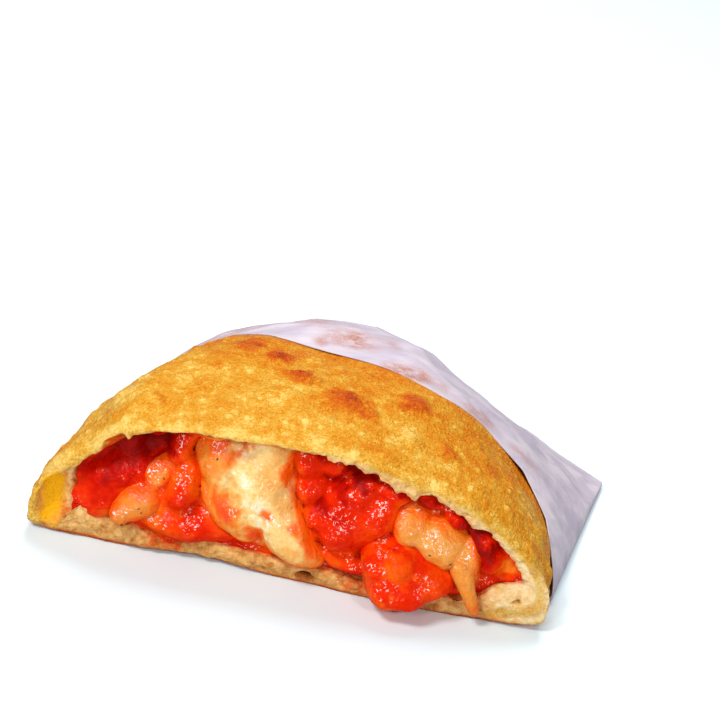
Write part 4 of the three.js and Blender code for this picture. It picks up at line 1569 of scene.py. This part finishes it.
@dataclass
class CrushedTomato:
    """Lumps of crushed tomato, and the sauce that fills the hollow behind them."""

    cheese: MozzarellaMelt
    front: FillingPiece = FillingPiece("tomato_front", 0.0, 4.2, 14.0, 0.53, 230, 96, (
        (17.5, 17), (19.5, 9.5), (22, 4), (26.5, 1), (32, 1.2), (38, 3.4), (43.5, 6.4), (46.5, 11),
        (44.5, 16), (38, 17.5), (33, 20.5), (27, 21.5), (21, 21),
    ))
    pieces: tuple[FillingPiece, ...] = (
        FillingPiece("tomato_middle", 0.2, 1.0, 44.0, 0.5, 240, 90, (
            (3.5, 20), (5, 14.5), (9, 11.2), (15, 12), (20, 15.5), (27, 18), (31, 22), (29, 29), (23, 33.5),
            (16, 36), (10.5, 33), (6.5, 27),
        )),
        FillingPiece("tomato_right", 0.1, 0.8, 24.0, 0.5, 150, 54, (
            (40, 27.5), (45.5, 23), (48.5, 17), (51.5, 14), (55, 16.5), (54.5, 21.5), (50, 26.5), (43, 30),
        )),
        FillingPiece("tomato_left", 0.1, 0.9, 22.0, 0.5, 150, 56, (
            (-36, 17), (-33, 12.5), (-28.5, 12.5), (-25.5, 18), (-25.2, 24), (-28, 29.5), (-32, 28.5),
            (-35, 23),
        )),
        FillingPiece("tomato_upper", 0.1, 0.8, 20.0, 0.5, 120, 46, (
            (-36.5, 29), (-34.5, 25), (-31, 26.5), (-28.5, 32), (-29.5, 37.5), (-34, 37), (-36.8, 33.5),
        )),
        FillingPiece("tomato_top", 0.1, 0.8, 26.0, 0.5, 140, 54, (
            (-3, 33), (-1, 26.5), (3, 23), (6.5, 27), (11, 32.5), (13.5, 36.5), (8, 39), (0, 39),
        )),
    )
    front_mounds: tuple[Mound, ...] = rows_of(Mound, (
        (30, 9.5, 15, 12, 0, 11), (26.5, 6.4, 6.6, 6, -30, 10.8), (33.5, 7, 5.8, 5.4, 20, 10.6),
        (22.6, 13.5, 5.4, 5, 60, 8), (28.8, 16.8, 5.6, 4.8, 0, 9), (40.5, 10.5, 6, 5, 10, 7.4),
    ))
    mounds: tuple[Mound, ...] = rows_of(Mound, (
        (-52, 14.5, 6.5, 8.5, 0, 3.2), (-46.5, 21.5, 8, 5, 25, 3.6), (-46, 29, 5.5, 4, 20, 3.6),
        (-40.5, 34.4, 5, 2.6, 0, 9.4), (-32.6, 31.5, 7.5, 4.2, 70, 6.4), (-30.4, 21, 8, 5, 76, 6),
        (-37, 15, 7, 6, 10, 2.4), (-30, 9.5, 12, 5, -5, 4.2), (-21, 12, 7, 4, -35, 3.4),
        (-25, 36.5, 7, 3.6, 10, 6.2), (0.5, 34.5, 6, 5, -30, 4.6), (7.5, 35.5, 4.6, 4, 0, 4.4),
        (2.6, 27, 5.4, 4.6, 40, 4.6), (5, 20.5, 4.6, 4, 60, 4.8), (15.5, 23, 12.5, 11, 60, 6.6),
        (11, 17.5, 6.4, 5.6, -20, 6.8), (15.5, 30.5, 6, 5, 30, 6), (22.5, 25, 6, 6.4, 0, 6),
        (24.5, 31.5, 6, 3.6, -25, 5.6), (16, 9, 9, 3.6, -10, 4.4), (33.5, 32, 5.6, 3.4, -25, 5.4),
        (41.5, 28.8, 6, 3.8, -35, 5.8), (49.5, 22.5, 6, 4.2, -50, 5.4), (52.5, 17.5, 5, 4, -75, 4.2),
        (43.5, 8.4, 7, 4.4, -5, 3.4),
    ))
    # Painted shade in the hole, the grooves, the gaps under the lip and below the lumps, with some deeper red
    # tomato; each takes ripeness away.
    shade_and_deep_red_places: tuple[Spot, ...] = rows_of(Spot, (
        (-40.6, 28.6, 3.8, 0.42), (-36.8, 30, 3, 0.45), (-46, 28, 9, 0.44), (-53, 17, 8, 0.16),
        (13.6, 36.6, 4.4, 0.7), (9, 31, 3, 0.35), (6.4, 24.6, 2.4, 0.3), (32, 30.6, 4, 0.35),
        (46, 26, 6, 0.5), (52, 20, 4.5, 0.45), (18, 8, 3, 0.2),
    ))
    # Orange patches of the tomato; the one at (-42, 34), under the lip, is also painted light against the
    # lip's shade.
    bright_places: tuple[Spot, ...] = rows_of(Spot, (
        (-57.5, 14, 4, 0.2), (-51, 8.5, 5, 0.14), (-42, 34, 4, 0.2), (-33, 7.5, 8, 0.22),
        (-24.5, 37.5, 6.5, 0.25), (28.6, 15.6, 4.2, 0.26), (29, 3.6, 4, 0.12), (24.5, 5.5, 4, 0.1),
        (19, 11, 4.4, 0.12), (14, 12.5, 5, 0.14), (57, 16.5, 4.4, 0.5), (38, 13, 4, 0.12),
    ))
    hole: Mound = Mound(-40.6, 28.4, 4.0, 3.0, 0.0, 3.0)
    under_cheese: float = 0.6
    sauce_gap: float = -0.2
    sauce_left: float = -58.8
    sauce_centre: Pair = (-4.0, 21.0)
    sauce_around: int = 480
    sauce_face_rings: int = 110
    sauce_tone: float = 0.46
    outline_points: int = 60
    front_clear: float = 5.0

    def depth(self, x: Array, z: Array) -> Array:
        """Depth of the sauce's face: the bed less its mounds and a hole, or just under the cheese."""
        own = bed_depth(x, z) - heaped(self.mounds, x, z) + self.hole.height(x, z)
        under = self.cheese.depth(x, z) + self.under_cheese + 6.0 * (1.0 - ease(z, 9.0, 15.0))
        return np.minimum(own, under)

    def front_depth(self, x: Array, z: Array) -> Array:
        """Depth of the lump that hangs out in front: its own mounds, standing on the cut's plane."""
        return -heaped(self.front_mounds, x, z)

    def relief(self, rings: Array, beside: Array) -> Array:
        """Knobbly pulp: lumps of two sizes and a fine grain. Under the cheese it dips instead."""
        lumps = 0.6 * Scatter(6.0, 2.2, 4.0, 0.7, 701).height(rings)
        knobs = 0.16 * Scatter(2.6, 0.8, 1.6, 0.6, 711).height(rings)
        pulp = 0.1 * Scatter(1.5, 0.45, 0.9, 0.5, 716).height(rings)
        return mix(lumps + knobs + pulp + 0.3 * rolling(rings, 5.0, 721) - 0.35, -1.0, ease(beside, 0.4, 2.4))

    def beside(self, rings: Array) -> Array:
        """How far each point lies inside the cheese's outlines, as the cut is seen from in front."""
        flat = rings[..., [0, 2]]
        edges = (piece.edge(self.outline_points) for piece in self.cheese.pieces)
        return np.max([inside_by(flat, edge) for edge in edges], axis=0)

    def marks(self, rings: Array, beside: Array, base: float) -> dict[str, Array]:
        """Works out how orange the tomato is: more near the cheese and at the base, less where painted shade
        and deeper red lie.

        Args:
            rings: points.
            beside: how far each lies inside the cheese's outlines.
            base: ripeness of this piece.

        Returns:
            The marks gleam and ripe.
        """
        ripe = base + 0.24 * ease(beside + 1.2 * rolling(rings, 4.0, 731), -2.6, 1.2)
        ripe += 0.12 * rolling(rings, 9.0, 732)
        # Bright places add orange; shaded places take it away as painted shade and deeper red.
        ripe += covered(self.bright_places, rings) - covered(self.shade_and_deep_red_places, rings)
        return {"painted_glint_mask": painted_glint_mask(rings) * ease(ripe, 0.26, 0.56), "ripe": held(ripe)}

    def sauce_rings(self, dough: DoughPocket) -> Array:
        """Works out the sauce's surface.

        Its border is the dough's wall at the depth of the filling's bed. The face runs in
        straight lines from its middle to that border, and the body follows the wall to the
        hollow's far end.

        Args:
            dough: the dough whose hollow it fills.

        Returns:
            Rings of points from the face's middle to the far end.
        """
        angle = dough.angles(self.sauce_around, 0.8)
        first = dough.wall(np.zeros_like(angle), angle, self.sauce_gap)
        border = dough.wall(bed_depth(first[:, 0], first[:, 2]), angle, self.sauce_gap)
        border[:, 0] = np.maximum(border[:, 0], self.sauce_left + 1.0 * rolling(border, 3.2, 741))
        middle = np.array([self.sauce_centre[0], 0.0, self.sauce_centre[1]])
        share = np.linspace(0.0, 1.0, self.sauce_face_rings)[:, None, None]
        face = mix(middle, border[None], share)
        depth = self.depth(face[..., 0], face[..., 2])
        face[..., 1] = mix(depth, border[None, :, 1], share[..., 0] ** 24)
        deepest = dough.hollow_depth - self.sauce_gap
        start = border[None, :, 1]
        inward = np.sin(np.linspace(0.0, np.pi / 2.0, 8))[1:, None]
        body = dough.wall(mix(start, deepest, inward), angle[None], self.sauce_gap)
        body[..., 0] = np.maximum(body[..., 0], self.sauce_left)
        body[-1] = [dough.far_x, deepest, dough.hollow_far_level]
        return np.concatenate([face, body])

    def build(self, dough: DoughPocket, shop: Workshop) -> None:
        """Makes the sauce and the lumps, and lets each stand for its solid.

        Args:
            dough: the dough whose hollow is filled.
            shop: where pieces are made.
        """
        for piece in (self.front, *self.pieces):
            hangs_out = piece is self.front
            rings = piece.rings(self.front_depth if hangs_out else self.depth)
            beside = self.beside(rings) - (self.front_clear if hangs_out else 0.0)
            moved = piece.moved(rings, self.relief(rings, beside))
            marks = self.marks(moved, beside, piece.tone)
            lump = shop.make(f"{piece.name}_pulp", moved, marks, Finish.TOMATO)
            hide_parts(piece.name)
        rings = self.sauce_rings(dough)
        beside = self.beside(rings)
        rows = np.arange(len(rings))[:, None]
        face_share = 1.0 - ease(rows, self.sauce_face_rings - 12, self.sauce_face_rings)
        outward = ring_normals(rings)
        outward *= np.where((rows < self.sauce_face_rings) & (outward[..., 1] > 0.0), -1.0, 1.0)[..., None]
        moved = rings + outward * (self.relief(rings, beside) * face_share)[..., None]
        moved[0] = moved[1].mean(axis=0)
        marks = self.marks(moved, beside, self.sauce_tone)
        sauce = shop.make("tomato_sauce_pulp", moved, marks, Finish.TOMATO)
        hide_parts("tomato_sauce")


@dataclass
class HerbFlecks:
    """A few flecks of dried leaf stuck to the filling."""

    places: Line = (
        (-40.2, 13.2), (-40.9, 14.4), (-44.6, 9.4), (36.4, 19.6), (-23, 31.4), (-36, 22.4), (42, 18),
    )
    length: float = 1.1
    width: float = 0.5
    thickness: float = 0.2
    curl: float = 0.25
    sizes: Pair = (0.6, 1.1)
    around: int = 12
    rings: int = 7
    seed: int = 15

    def build(self, surface: Array, shop: Workshop) -> None:
        """Makes the flecks as curled discs: rings shrink by a cosine and the disc bends by its x squared.

        Args:
            surface: points that the flecks may lie on.
            shop: where pieces are made.
        """
        turn = full_turn(self.around)
        tilt = np.linspace(-np.pi / 2.0, np.pi / 2.0, self.rings)
        x = self.length / 2.0 * np.cos(tilt)[:, None] * np.cos(turn)[None]
        z = self.width / 2.0 * np.cos(tilt)[:, None] * np.sin(turn)[None]
        y = self.thickness / 2.0 * np.sin(tilt)[:, None] + self.curl * x**2
        fleck = np.stack(np.broadcast_arrays(x, y, z), axis=-1)
        wanted = np.array(self.places)
        nearest = ((surface[None][..., [0, 2]] - wanted[:, None]) ** 2).sum(axis=-1).argmin(axis=1)
        draws = np.random.default_rng(self.seed)
        spin = draws.uniform(0.0, np.pi, len(wanted))
        size = draws.uniform(*self.sizes, len(wanted))
        cosine, sine = size * np.cos(spin), size * np.sin(spin)
        still = np.zeros_like(size)
        turns = np.stack([cosine, still, sine, still, size, still, -sine, still, cosine], axis=-1)
        flecks = np.einsum("nij,rcj->nrci", turns.reshape(-1, 3, 3), fleck) + surface[nearest][:, None, None]
        shop.make("herb_flecks", flecks, {}, Finish.HERB)


# ---- paper


@dataclass
class PaperSleeve:
    """The greaseproof sleeve: two sheets joined along their side creases and their end."""

    thickness: float = 0.3
    crease_level: float = 2.0
    clearance: float = 1.15
    mouth_clearance: float = 0.12
    swell_room: float = 0.05
    angular: float = 0.8
    puff_place: Pair = (12.0, 79.0)
    puff_reach: Pair = (44.0, 32.0)
    puff_height: float = 4.2
    mouth: Line = SLEEVE_MOUTH
    under_mouth: Line = ((-50, 80), (-24, 62), (5, 46), (38, 30), (72.6, 13))
    fold: Line = ((72.6, 13), (80, 46), (87, 76))
    seam: Line = ((-50, 80), (-45, 93), (-34, 106))
    end: Line = ((-34, 106), (-8, 120), (34, 109), (64, 94), (87, 76))
    across: int = 180
    along: int = 110
    coarse_across: int = 20
    coarse_along: int = 10
    coarse_rounds: int = 600
    fine_rounds: int = 500
    blotches: tuple[tuple[float, float, float, float], ...] = (
        (-28, 76, 16, 0.5), (-8, 74, 16, 0.45), (6, 61, 13, 1), (23, 49, 12, 1), (44, 47, 9, 0.6),
        (60, 45, 8, 0.5), (20, 84, 14, 0.4),
    )

    def plan(self, mouth: Line, along: Array, across: Array) -> Array:
        """Plan of one sheet, from above.

        It is a Coons patch: the blend of the mouth and the end, plus the blend of the two side
        creases, less the blend of the four corners.

        Args:
            mouth: the sheet's edge at the mouth.
            along: shares from the mouth to the end.
            across: shares from the sealed edge's side to the fold's side.

        Returns:
            x and y for each pair of shares.
        """
        near, far = (self.traced(edge, across)[None] for edge in (mouth, self.end))
        left, right = (self.traced(edge, along)[:, None] for edge in (self.seam, self.fold))
        s, w = along[:, None, None], across[None, :, None]
        corners = mix(mix(near[:, :1], near[:, -1:], w), mix(far[:, :1], far[:, -1:], w), s)
        return mix(near, far, s) + mix(left, right, w) - corners

    def traced(self, edge: Line, shares: Array) -> Array:
        """Finds points at shares of an edge's controls, between the smooth curve and straight runs.

        Args:
            edge: the edge's controls.
            shares: places along it, from 0 to 1.

        Returns:
            x and y at each share.
        """
        padded = carried_on(np.array(edge, dtype=float))
        place = shares * (len(edge) - 1)
        first = np.clip(np.floor(place).astype(int), 0, len(edge) - 2)
        t = (place - first)[:, None]
        a, b, c, d = (padded[first + k] for k in range(4))
        return mix(cubic(a, b, c, d, t), mix(b, c, t), self.angular)

    def dough_top(self, dough: DoughPocket, plan: Array, grow: Array) -> Array:
        """Height of the dough below each plan point, grown to the paper; 0 outside it.

        Args:
            dough: the dough.
            plan: x and y of each point.
            grow: room between dough and paper.

        Returns:
            Heights.
        """
        x, y = np.moveaxis(plan, -1, 0)
        narrowing, left, right, top = dough.section(y, grow)
        half = np.maximum((right - left) / 2.0, 1e-6)
        across = np.clip((x - (left + right) / 2.0) / half, -1.0, 1.0)
        level = mix(dough.seam_level, dough.fold_level, (across + 1.0) / 2.0)
        side = mix(dough.far_level, level, narrowing)
        reach = held(y / (dough.depth + grow))
        height = side + (top - side) * dough.dome_share(across, reach) + self.swell_room
        height += dough.swell(x, y) * np.sqrt(1.0 - across**2) * narrowing
        return np.where(np.abs(across) < 1.0, height, 0.0)

    def settle(self, height: Array, least: Array, rounds: int) -> Array:
        """Lets a sheet settle like a stretched membrane.

        In each round every free point takes the mean of its four neighbours, or the least
        height there. The side creases and the end stay held.

        Args:
            height: heights to start from.
            least: lowest height allowed at each point.
            rounds: how many rounds.

        Returns:
            The settled heights.
        """
        for _ in range(rounds):
            ahead = np.concatenate([height[1:2], height[:-2]])
            mean = (ahead[:, 1:-1] + height[1:, 1:-1] + height[:-1, :-2] + height[:-1, 2:]) / 4.0
            height[:-1, 1:-1] = np.maximum(least[:-1, 1:-1], mean)
        return height

    def shares(self, along: int, across: int) -> tuple[Array, Array]:
        """Shares along the sleeve, even, and across it, closer together at its creases."""
        return np.linspace(0.0, 1.0, along + 1), 0.5 - 0.5 * np.cos(np.linspace(0.0, np.pi, across + 1))

    def least(self, dough: DoughPocket, plan: Array, along: Array) -> Array:
        """Lowest heights of the top sheet: the dough's, puffed out with air, and the creases'.

        Args:
            dough: the dough inside.
            plan: x and y of each point.
            along: shares from the mouth to the end.

        Returns:
            Heights.
        """
        grow = mix(self.mouth_clearance, self.clearance, ease(along, 0.0, 0.25))[:, None] + 0.0 * plan[..., 0]
        away = (((plan - np.array(self.puff_place)) / np.array(self.puff_reach)) ** 2).sum(axis=-1)
        puff = self.puff_height * held(1.0 - away) ** 2
        height = self.dough_top(dough, plan, grow) + puff
        height[:, [0, -1]] = self.crease_level
        height[-1] = self.crease_level
        return height

    def top_sheet(self, dough: DoughPocket) -> Array:
        """Works out the top sheet: settled coarsely, made finer, settled again and creased.

        Args:
            dough: the dough that it is stretched over.

        Returns:
            Points from the mouth to the end.
        """
        along, across = self.shares(self.coarse_along, self.coarse_across)
        least = self.least(dough, self.plan(self.mouth, along, across), along)
        coarse = self.settle(least.copy(), least, self.coarse_rounds)
        fine_along, fine_across = self.shares(self.along, self.across)
        place = np.linspace(0.0, 1.0, self.coarse_across + 1)
        wide = np.stack([np.interp(np.linspace(0.0, 1.0, self.across + 1), place, row) for row in coarse])
        height = np.stack([np.interp(fine_along, along, column) for column in wide.T], axis=-1)
        plan = self.plan(self.mouth, fine_along, fine_across)
        least = self.least(dough, plan, fine_along)
        height = self.settle(np.maximum(height, least), least, self.fine_rounds)
        sheet = np.concatenate([plan, height[..., None]], axis=-1)
        sheet[..., 2] += self.creases(sheet, fine_along, fine_across)
        return sheet

    def creases(self, sheet: Array, along: Array, across: Array) -> Array:
        """Folds and ridges of the paper, which fade towards its creased edges.

        Sharp ridges are one less the size of slow noise, to a high power. Soft folds are noise
        drawn out along the length of the mouth.

        Args:
            sheet: points of the sheet.
            along: shares from the mouth to the end.
            across: shares across.

        Returns:
            Heights to add.
        """
        hold = ease(across, 0.0, 0.12) * (1.0 - ease(across, 0.9, 1.0))
        fade = hold[None] * (1.0 - ease(along, 0.85, 1.0))[:, None]
        ridges = (1.0 - np.abs(rolling(sheet, np.array([26.0, 15.0, 26.0]), 801))) ** 9
        folds = rolling(sheet, np.array([22.0, 9.0, 40.0]), 802)
        fine = rough(sheet, 6.0, 2, 803)
        mouth = mix(0.12, 1.0, ease(along, 0.0, 0.16))[:, None]
        return fade * mouth * (0.7 * ridges + 0.5 * folds + 0.12 * fine + 0.35)

    def build(self, dough: DoughPocket, shop: Workshop) -> None:
        """Makes the sleeve as a closed shell and lets it stand for its solid.

        Each ring runs over the top sheet and back along the under sheet. Rings run from the
        end, where the sheets meet, to the mouth outside, and back inside by the thickness.

        Args:
            dough: the dough inside.
            shop: where pieces are made.
        """
        over = self.top_sheet(dough)
        along, across = self.shares(self.along, self.across)
        flat = self.plan(self.under_mouth, along, across)
        run, side = np.gradient(over, axis=0), np.gradient(over, axis=1)
        normal = unit(np.cross(side, run))
        normal *= np.where(normal[..., 2:] < 0.0, -1.0, 1.0)
        rings = []
        for inset in (0.0, self.thickness):
            top = (over - normal * inset)[:, 1:-1][:, ::-1]
            under = np.concatenate([flat, np.full(flat.shape[:-1] + (1,), inset)], axis=-1)
            inward = 2.0 * inset * unit(under[:, -1] - under[:, 0])
            seam_crease, fold_crease = under[:, :1] + inward[:, None], under[:, -1:] - inward[:, None]
            seam_crease[..., 2] = fold_crease[..., 2] = self.crease_level / 2.0
            ring = np.concatenate([fold_crease, top, seam_crease, under[:, 1:-1]], axis=1)
            partner = (-np.arange(ring.shape[1])) % ring.shape[1]
            last = mix(ring[-1], ring[-1][partner], 0.5)
            last[:, 2] = self.crease_level / 2.0
            last[:, 1] -= 2.0 * inset
            ring[-1] = last
            rings.append(ring)
        shell = np.concatenate([rings[0][::-1], rings[1]])
        blotch = np.zeros(shell.shape[:-1])
        for x, y, reach, strength in self.blotches:
            away = np.hypot(shell[..., 0] - x, (shell[..., 1] - y) * 1.6) / reach
            away = away + 0.5 * rolling(shell, 7.0, 811)
            blotch = np.maximum(blotch, strength * (1.0 - ease(away, 0.1, 1.0)))
        blotch = blotch * (shell[..., 2] > self.crease_level + 1.0)
        sleeve = shop.make("paper_sleeve_sheet", shell, {"blotch": blotch}, Finish.PAPER)
        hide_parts("paper_sleeve")


# ---- studio


@dataclass(frozen=True)
class Softbox:
    """A square area light."""

    name: str
    place: Triple
    size: float
    power: float
    colour: Triple = (1.0, 1.0, 1.0)

    def hang(self, aim: Vector) -> None:
        """Hangs the light.

        Args:
            aim: the place it shines on, in metres.
        """
        lamp = bpy.data.lights.new(self.name, "AREA")
        lamp.energy = self.power
        lamp.size = self.size
        lamp.color = self.colour
        lamp_object = bpy.data.objects.new(self.name, lamp)
        lamp_object.location = self.place
        lamp_object.rotation_euler = (aim - Vector(self.place)).to_track_quat("-Z", "Y").to_euler()
        bpy.context.scene.collection.objects.link(lamp_object)


@dataclass
class Studio:
    """Pale floor, soft light and the camera."""

    elevation: float = 30.0
    roll: float = 11.4
    lens: float = 100.0
    sensor: float = 36.0
    distance: float = 0.535
    nearest: float = 0.01
    aim: Triple = (8.45, 30.4, 53.0)
    floor_size: float = 6.0
    floor_colour: Colour = (229, 242, 247)
    floor_drop: float = 0.0001
    floor_roughness: float = 0.9
    sky: float = 0.22
    softboxes: tuple[Softbox, ...] = (
        Softbox("key_light", (-0.4, -0.4, 0.75), 0.2, 4.6),
        Softbox("top_light", (0.0, 0.45, 0.85), 0.5, 6.9),
        Softbox("left_fill", (-0.3, -0.78, 0.56), 0.11, 1.6),
        Softbox("right_fill", (0.4, -0.68, 0.6), 0.11, 2.0),
    )

    def lay_floor(self) -> None:
        """Lays the floor, a large flat square just under the part, with no sheen thrown back on it."""
        half = self.floor_size / 2.0
        mesh = bpy.data.meshes.new("floor")
        corners = [(-half, -half, 0.0), (half, -half, 0.0), (half, half, 0.0), (-half, half, 0.0)]
        mesh.from_pydata(corners, [], [(0, 1, 2, 3)])
        floor = bpy.data.objects.new("floor", mesh)
        floor.location.z = -self.floor_drop
        bpy.context.scene.collection.objects.link(floor)
        board = NodeBoard("floor_card")
        board.shader.inputs["Base Color"].default_value = tint(self.floor_colour)
        board.shader.inputs["Roughness"].default_value = self.floor_roughness
        board.shader.inputs["Specular IOR Level"].default_value = 0.0
        floor.data.materials.append(board.material)
        floor.visible_glossy = False

    def hang_lights(self, place: CutFrame) -> None:
        """Hangs the softboxes and lights the sky evenly.

        Args:
            place: the cut's frame.
        """
        for softbox in self.softboxes:
            softbox.hang(Vector(place.metres(np.array(self.aim))))
        world = bpy.data.worlds.new("studio")
        world.use_nodes = True
        world.node_tree.nodes["Background"].inputs["Color"].default_value = (1.0, 1.0, 1.0, 1.0)
        world.node_tree.nodes["Background"].inputs["Strength"].default_value = self.sky
        bpy.context.scene.world = world

    def place_camera(self, place: CutFrame) -> None:
        """Places the camera in front of the cut, looking down, and rolls it about its own axis.

        Args:
            place: the cut's frame.
        """
        aim = Vector(place.metres(np.array(self.aim)))
        tilt = math.radians(self.elevation)
        forward = Vector((0.0, math.cos(tilt), -math.sin(tilt)))
        right, up = Vector((1.0, 0.0, 0.0)), Vector((0.0, math.sin(tilt), math.cos(tilt)))
        turn = math.radians(self.roll)
        side = right * math.cos(turn) + up * math.sin(turn)
        top = up * math.cos(turn) - right * math.sin(turn)
        camera = bpy.data.objects.new("camera", bpy.data.cameras.new("camera"))
        camera.data.lens = self.lens
        camera.data.sensor_width = self.sensor
        camera.data.clip_start = self.nearest
        axes = Matrix((side, top, -forward)).transposed().to_4x4()
        camera.matrix_world = Matrix.Translation(aim - forward * self.distance) @ axes
        bpy.context.scene.collection.objects.link(camera)
        bpy.context.scene.camera = camera

    def set_up(self, place: CutFrame) -> None:
        """Sets up the floor, the lights, the camera and plain colour handling."""
        self.lay_floor()
        self.hang_lights(place)
        self.place_camera(place)
        bpy.context.scene.view_settings.view_transform = "Standard"


def main() -> None:
    """Builds the part's pieces in order and sets up the studio."""
    logging.basicConfig(level=logging.INFO, format="%(message)s")
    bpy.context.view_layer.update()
    dough = DoughPocket()
    shop = Workshop(CutFrame.beside(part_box("crust")[0], dough.width / 2.0, dough.rim_proud))
    dough.build(shop)
    cheese = MozzarellaMelt()
    cheese_surface = cheese.build(shop)
    CrushedTomato(cheese).build(dough, shop)
    HerbFlecks().build(cheese_surface, shop)
    PaperSleeve().build(dough, shop)
    Studio().set_up(shop.place)


if __name__ == "__main__":
    main()
